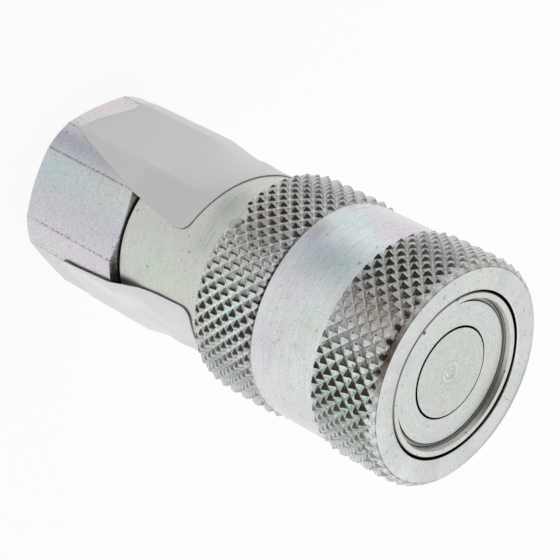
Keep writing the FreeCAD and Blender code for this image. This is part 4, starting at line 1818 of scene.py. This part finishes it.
        # The marks paint shade along the sheet's cut edges, full on the inner side and lighter on the
        # outer.
        marks = np.zeros(2 * count)
        marks[border] = 1.0
        marks[border + count] = self.outer_edge_shade
        points = np.concatenate([inner.reshape(-1, 3), outer.reshape(-1, 3)])
        tone = self.shade((signed + 180) % 360 - 180, z).ravel()
        tints = np.repeat(np.concatenate([tone, tone])[:, None], 4, axis=1)
        piece = mesh_object("paper_label", points, np.concatenate(faces), marks, tints)
        dress(piece, finish)
        settle_on(piece, "adhesive_label", Body.COUPLING)


@dataclass(frozen=True)
class Coil:
    """Wound spring copied from its imported node."""

    piece: str
    node: str
    joint: str

    def build(self, frame: dict[str, Any], material: bpy.types.Material) -> None:
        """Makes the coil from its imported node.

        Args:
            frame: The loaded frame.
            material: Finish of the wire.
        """
        low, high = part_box(self.node)
        coil = bpy.data.objects.new(self.piece, frame["nodes"][self.node].data.copy())
        bpy.context.scene.collection.objects.link(coil)
        dress(coil, material)
        settle_on(coil, self.node, Body.COUPLING)
        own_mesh(coil)


@dataclass
class InnerParts:
    """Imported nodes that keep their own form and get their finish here."""

    coils: tuple[Coil, ...] = (
        Coil("sleeve_coil", "sleeve_spring", "sleeve_slide"),
        Coil("valve_coil", "valve_spring", "valve_slide"),
    )
    spring_nodes: tuple[str, ...] = ("sleeve_stop_ring", "spring_thrust_washer")
    rubber_nodes: tuple[str, ...] = ("adapter_o_ring", "body_seal", "stem_seal")
    holder_nodes: tuple[str, ...] = ("stem_holder", "stem_nut")
    plastic_nodes: tuple[str, ...] = ("back_up_ring",)

    def dress(self, frame: dict[str, Any]) -> None:
        """Gives each inner node its finish and builds the two coils.

        Args:
            frame: The loaded frame.
        """
        nodes = frame["nodes"]
        spring = SteelFinish("drawn_spring_steel", (0.42, 0.42, 0.43), 0.28).material()
        ball = SteelFinish("polished_ball_steel", (0.56, 0.55, 0.56), 0.34, 1.2).material()
        # The lock ball gets a duller, darker copy of the ball steel; the darker base is painted shade of
        # the notch that it sits in.
        shaded_lock_finish = SteelFinish("dull_shaded_lock_ball_steel", (0.50, 0.50, 0.49), 0.40, 1.6).material()
        holder = SteelFinish("plain_holder_zinc", (0.60, 0.61, 0.60), 0.34).material()
        rubber = MouldedFinish("black_nitrile", (0.030, 0.030, 0.032), 0.42).material()
        plastic = MouldedFinish("white_back_up", (0.86, 0.85, 0.80), 0.40).material()
        balls = tuple(name for name in nodes if name.startswith("locking_ball"))
        groups = (
            (self.spring_nodes, spring),
            (self.rubber_nodes, rubber),
            (self.holder_nodes, holder),
            (self.plastic_nodes, plastic),
            (balls, ball),
            (("lock_ball",), shaded_lock_finish),
        )
        for names, material in groups:
            for name in names:
                dress(nodes[name], material)
                LOG.info("%s: %s", name, material.name)
        for coil in self.coils:
            coil.build(frame, spring)


# Studio


@dataclass
class Studio:
    """White floor, soft surroundings with one dark side, and the reference camera."""

    floor_half: float = 3.0
    floor_white: float = 0.90
    floor_paint: Colour = (0.90, 0.90, 0.90)
    sensor: float = 36.0
    side_direction: tuple[float, float, float] = (0.93, -0.20, 0.30)
    side_gain: float = 0.35
    dark_direction: tuple[float, float, float] = (-0.03, -0.92, 0.38)
    level: float = 0.97
    sky: tuple[tuple[float, Colour], ...] = (
        (0.0, (1.0, 1.0, 1.0)),
        (0.62, (0.90, 0.90, 0.90)),
        (0.80, (0.42, 0.385, 0.365)),
        (0.90, (0.100, 0.064, 0.048)),
        (1.0, (0.045, 0.030, 0.024)),
    )
    lens: float = 137.59
    shift: tuple[float, float] = (0.0014, 0.0008)
    camera_place: tuple[float, float, float] = (-0.004077, -0.271162, 0.258021)
    camera_right: tuple[float, float, float] = (-0.458954, 0.553871, 0.694704)
    camera_up: tuple[float, float, float] = (-0.888408, -0.276343, -0.366594)
    camera_back: tuple[float, float, float] = (-0.011064, -0.785421, 0.618870)

    def build_camera(self) -> None:
        """Puts the camera where the reference view was taken from."""
        data = bpy.data.cameras.new("view")
        data.lens = self.lens
        data.sensor_width = self.sensor
        data.shift_x, data.shift_y = self.shift
        camera = bpy.data.objects.new("view", data)
        columns = Matrix((self.camera_right, self.camera_up, self.camera_back)).transposed()
        camera.matrix_world = Matrix.Translation(self.camera_place) @ columns.to_4x4()
        bpy.context.scene.collection.objects.link(camera)
        bpy.context.scene.camera = camera

    def build_floor(self) -> None:
        """Makes the floor: white to the camera and in reflections, with the part's shadow."""
        h = self.floor_half
        mesh = bpy.data.meshes.new("floor")
        mesh.from_pydata([(-h, -h, 0), (h, -h, 0), (h, h, 0), (-h, h, 0)], [], [(0, 1, 2, 3)])
        floor = bpy.data.objects.new("floor", mesh)
        bpy.context.scene.collection.objects.link(floor)
        graph = Graph(bpy.data.materials.new("white_floor"))
        path = graph.node("LightPath").outputs
        reflected = graph.math("MAXIMUM", path["Is Glossy Ray"], path["Is Transmission Ray"])
        seen = graph.math("MAXIMUM", path["Is Camera Ray"], reflected)
        white = graph.node("Emission", {"Color": (1.0, 1.0, 1.0), "Strength": 1.0})
        paint = graph.node("BsdfDiffuse", {"Color": self.floor_paint})
        share = graph.math("MULTIPLY", seen, self.floor_white)
        mixed = graph.node("MixShader", {0: share, 1: paint.outputs[0], 2: white.outputs[0]})
        mesh.materials.append(graph.finish(mixed))

    def build_world(self) -> None:
        """Lights the part evenly from all round but for the dark side behind the camera."""
        world = bpy.data.worlds.new("studio")
        bpy.context.scene.world = world
        graph = Graph(world, "OutputWorld")
        around = graph.node("TexCoord").outputs["Generated"]
        sky = graph.ramp(graph.dot(around, self.dark_direction), self.sky)
        lit = graph.math("MAXIMUM", graph.dot(around, self.side_direction), 0.0)
        strength = graph.math("ADD", graph.math("MULTIPLY", lit, self.side_gain), self.level)
        graph.finish(graph.node("Background", {0: sky, "Strength": strength}))

    def build(self) -> None:
        """Builds the whole studio."""
        self.build_camera()
        self.build_floor()
        self.build_world()
        bpy.context.scene.view_settings.view_transform = "Standard"


def main() -> None:
    """Builds the looks round the frame."""
    logging.basicConfig(level=logging.INFO, format="%(name)s: %(message)s")
    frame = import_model()
    Studio().build()

    hex_zinc = ZincFinish(
        "milled_hexagon_zinc", base=(0.80, 0.80, 0.80), grain=Grain.MILLED, grain_depth=0.004,
        speckle=0.5, mark_dashes=True, mark_strength=0.92,
    )
    nose_burrs = (
        Blot(-15.6, 13.14, 82.7, 0.34),
        Blot(36.8, 13.0, 82.7, 0.16, 0.6),
        Blot(-48.6, 13.5, 82.6, 0.34, 0.7),
        Blot(145.0, 12.7, 82.5, 0.24, 0.7),
        Blot(131.0, 12.6, 82.3, 0.18, 0.6),
        Blot(92.0, 13.5, 82.7, 0.24, 0.6),
    )
    body_zinc = ZincFinish(
        "turned_body_zinc", base=(0.745, 0.765, 0.72), grain_pitch=0.35, roughness=0.34, speckle=0.3,
        pins=0.35, blots=nose_burrs,
    )
    sleeve_zinc = ZincFinish(
        "knurled_sleeve_zinc", base=(0.80, 0.83, 0.82), grain_pitch=0.30, grain_tint=0.95, roughness=0.22,
        mottle=0.35, speckle=0.30, mark_speckle=0.45,
    )
    valve_zinc = ZincFinish(
        "faced_valve_zinc", base=(0.735, 0.765, 0.755), grain=Grain.FACED, grain_pitch=0.35,
        roughness=0.36, speckle=0.32, blots=(Blot(-179.3, 11.62, 81.7, 0.20, 0.7),),
    )
    stem_zinc = ZincFinish(
        "faced_stem_zinc", base=(0.705, 0.745, 0.705), grain=Grain.FACED, grain_pitch=0.3,
        roughness=0.36, speckle=0.40,
    )

    adapter = Adapter()
    adapter.build(hex_zinc.material())
    CouplerBody().build(body_zinc.material())
    LockingSleeve().build(sleeve_zinc.material())
    valve = Valve()
    valve.build_sleeve(valve_zinc.material())
    valve.build_stem(stem_zinc.material())
    Label(adapter).build(PaperFinish("grey_label_paper").material())
    InnerParts().dress(frame)


if __name__ == "__main__":
    main()
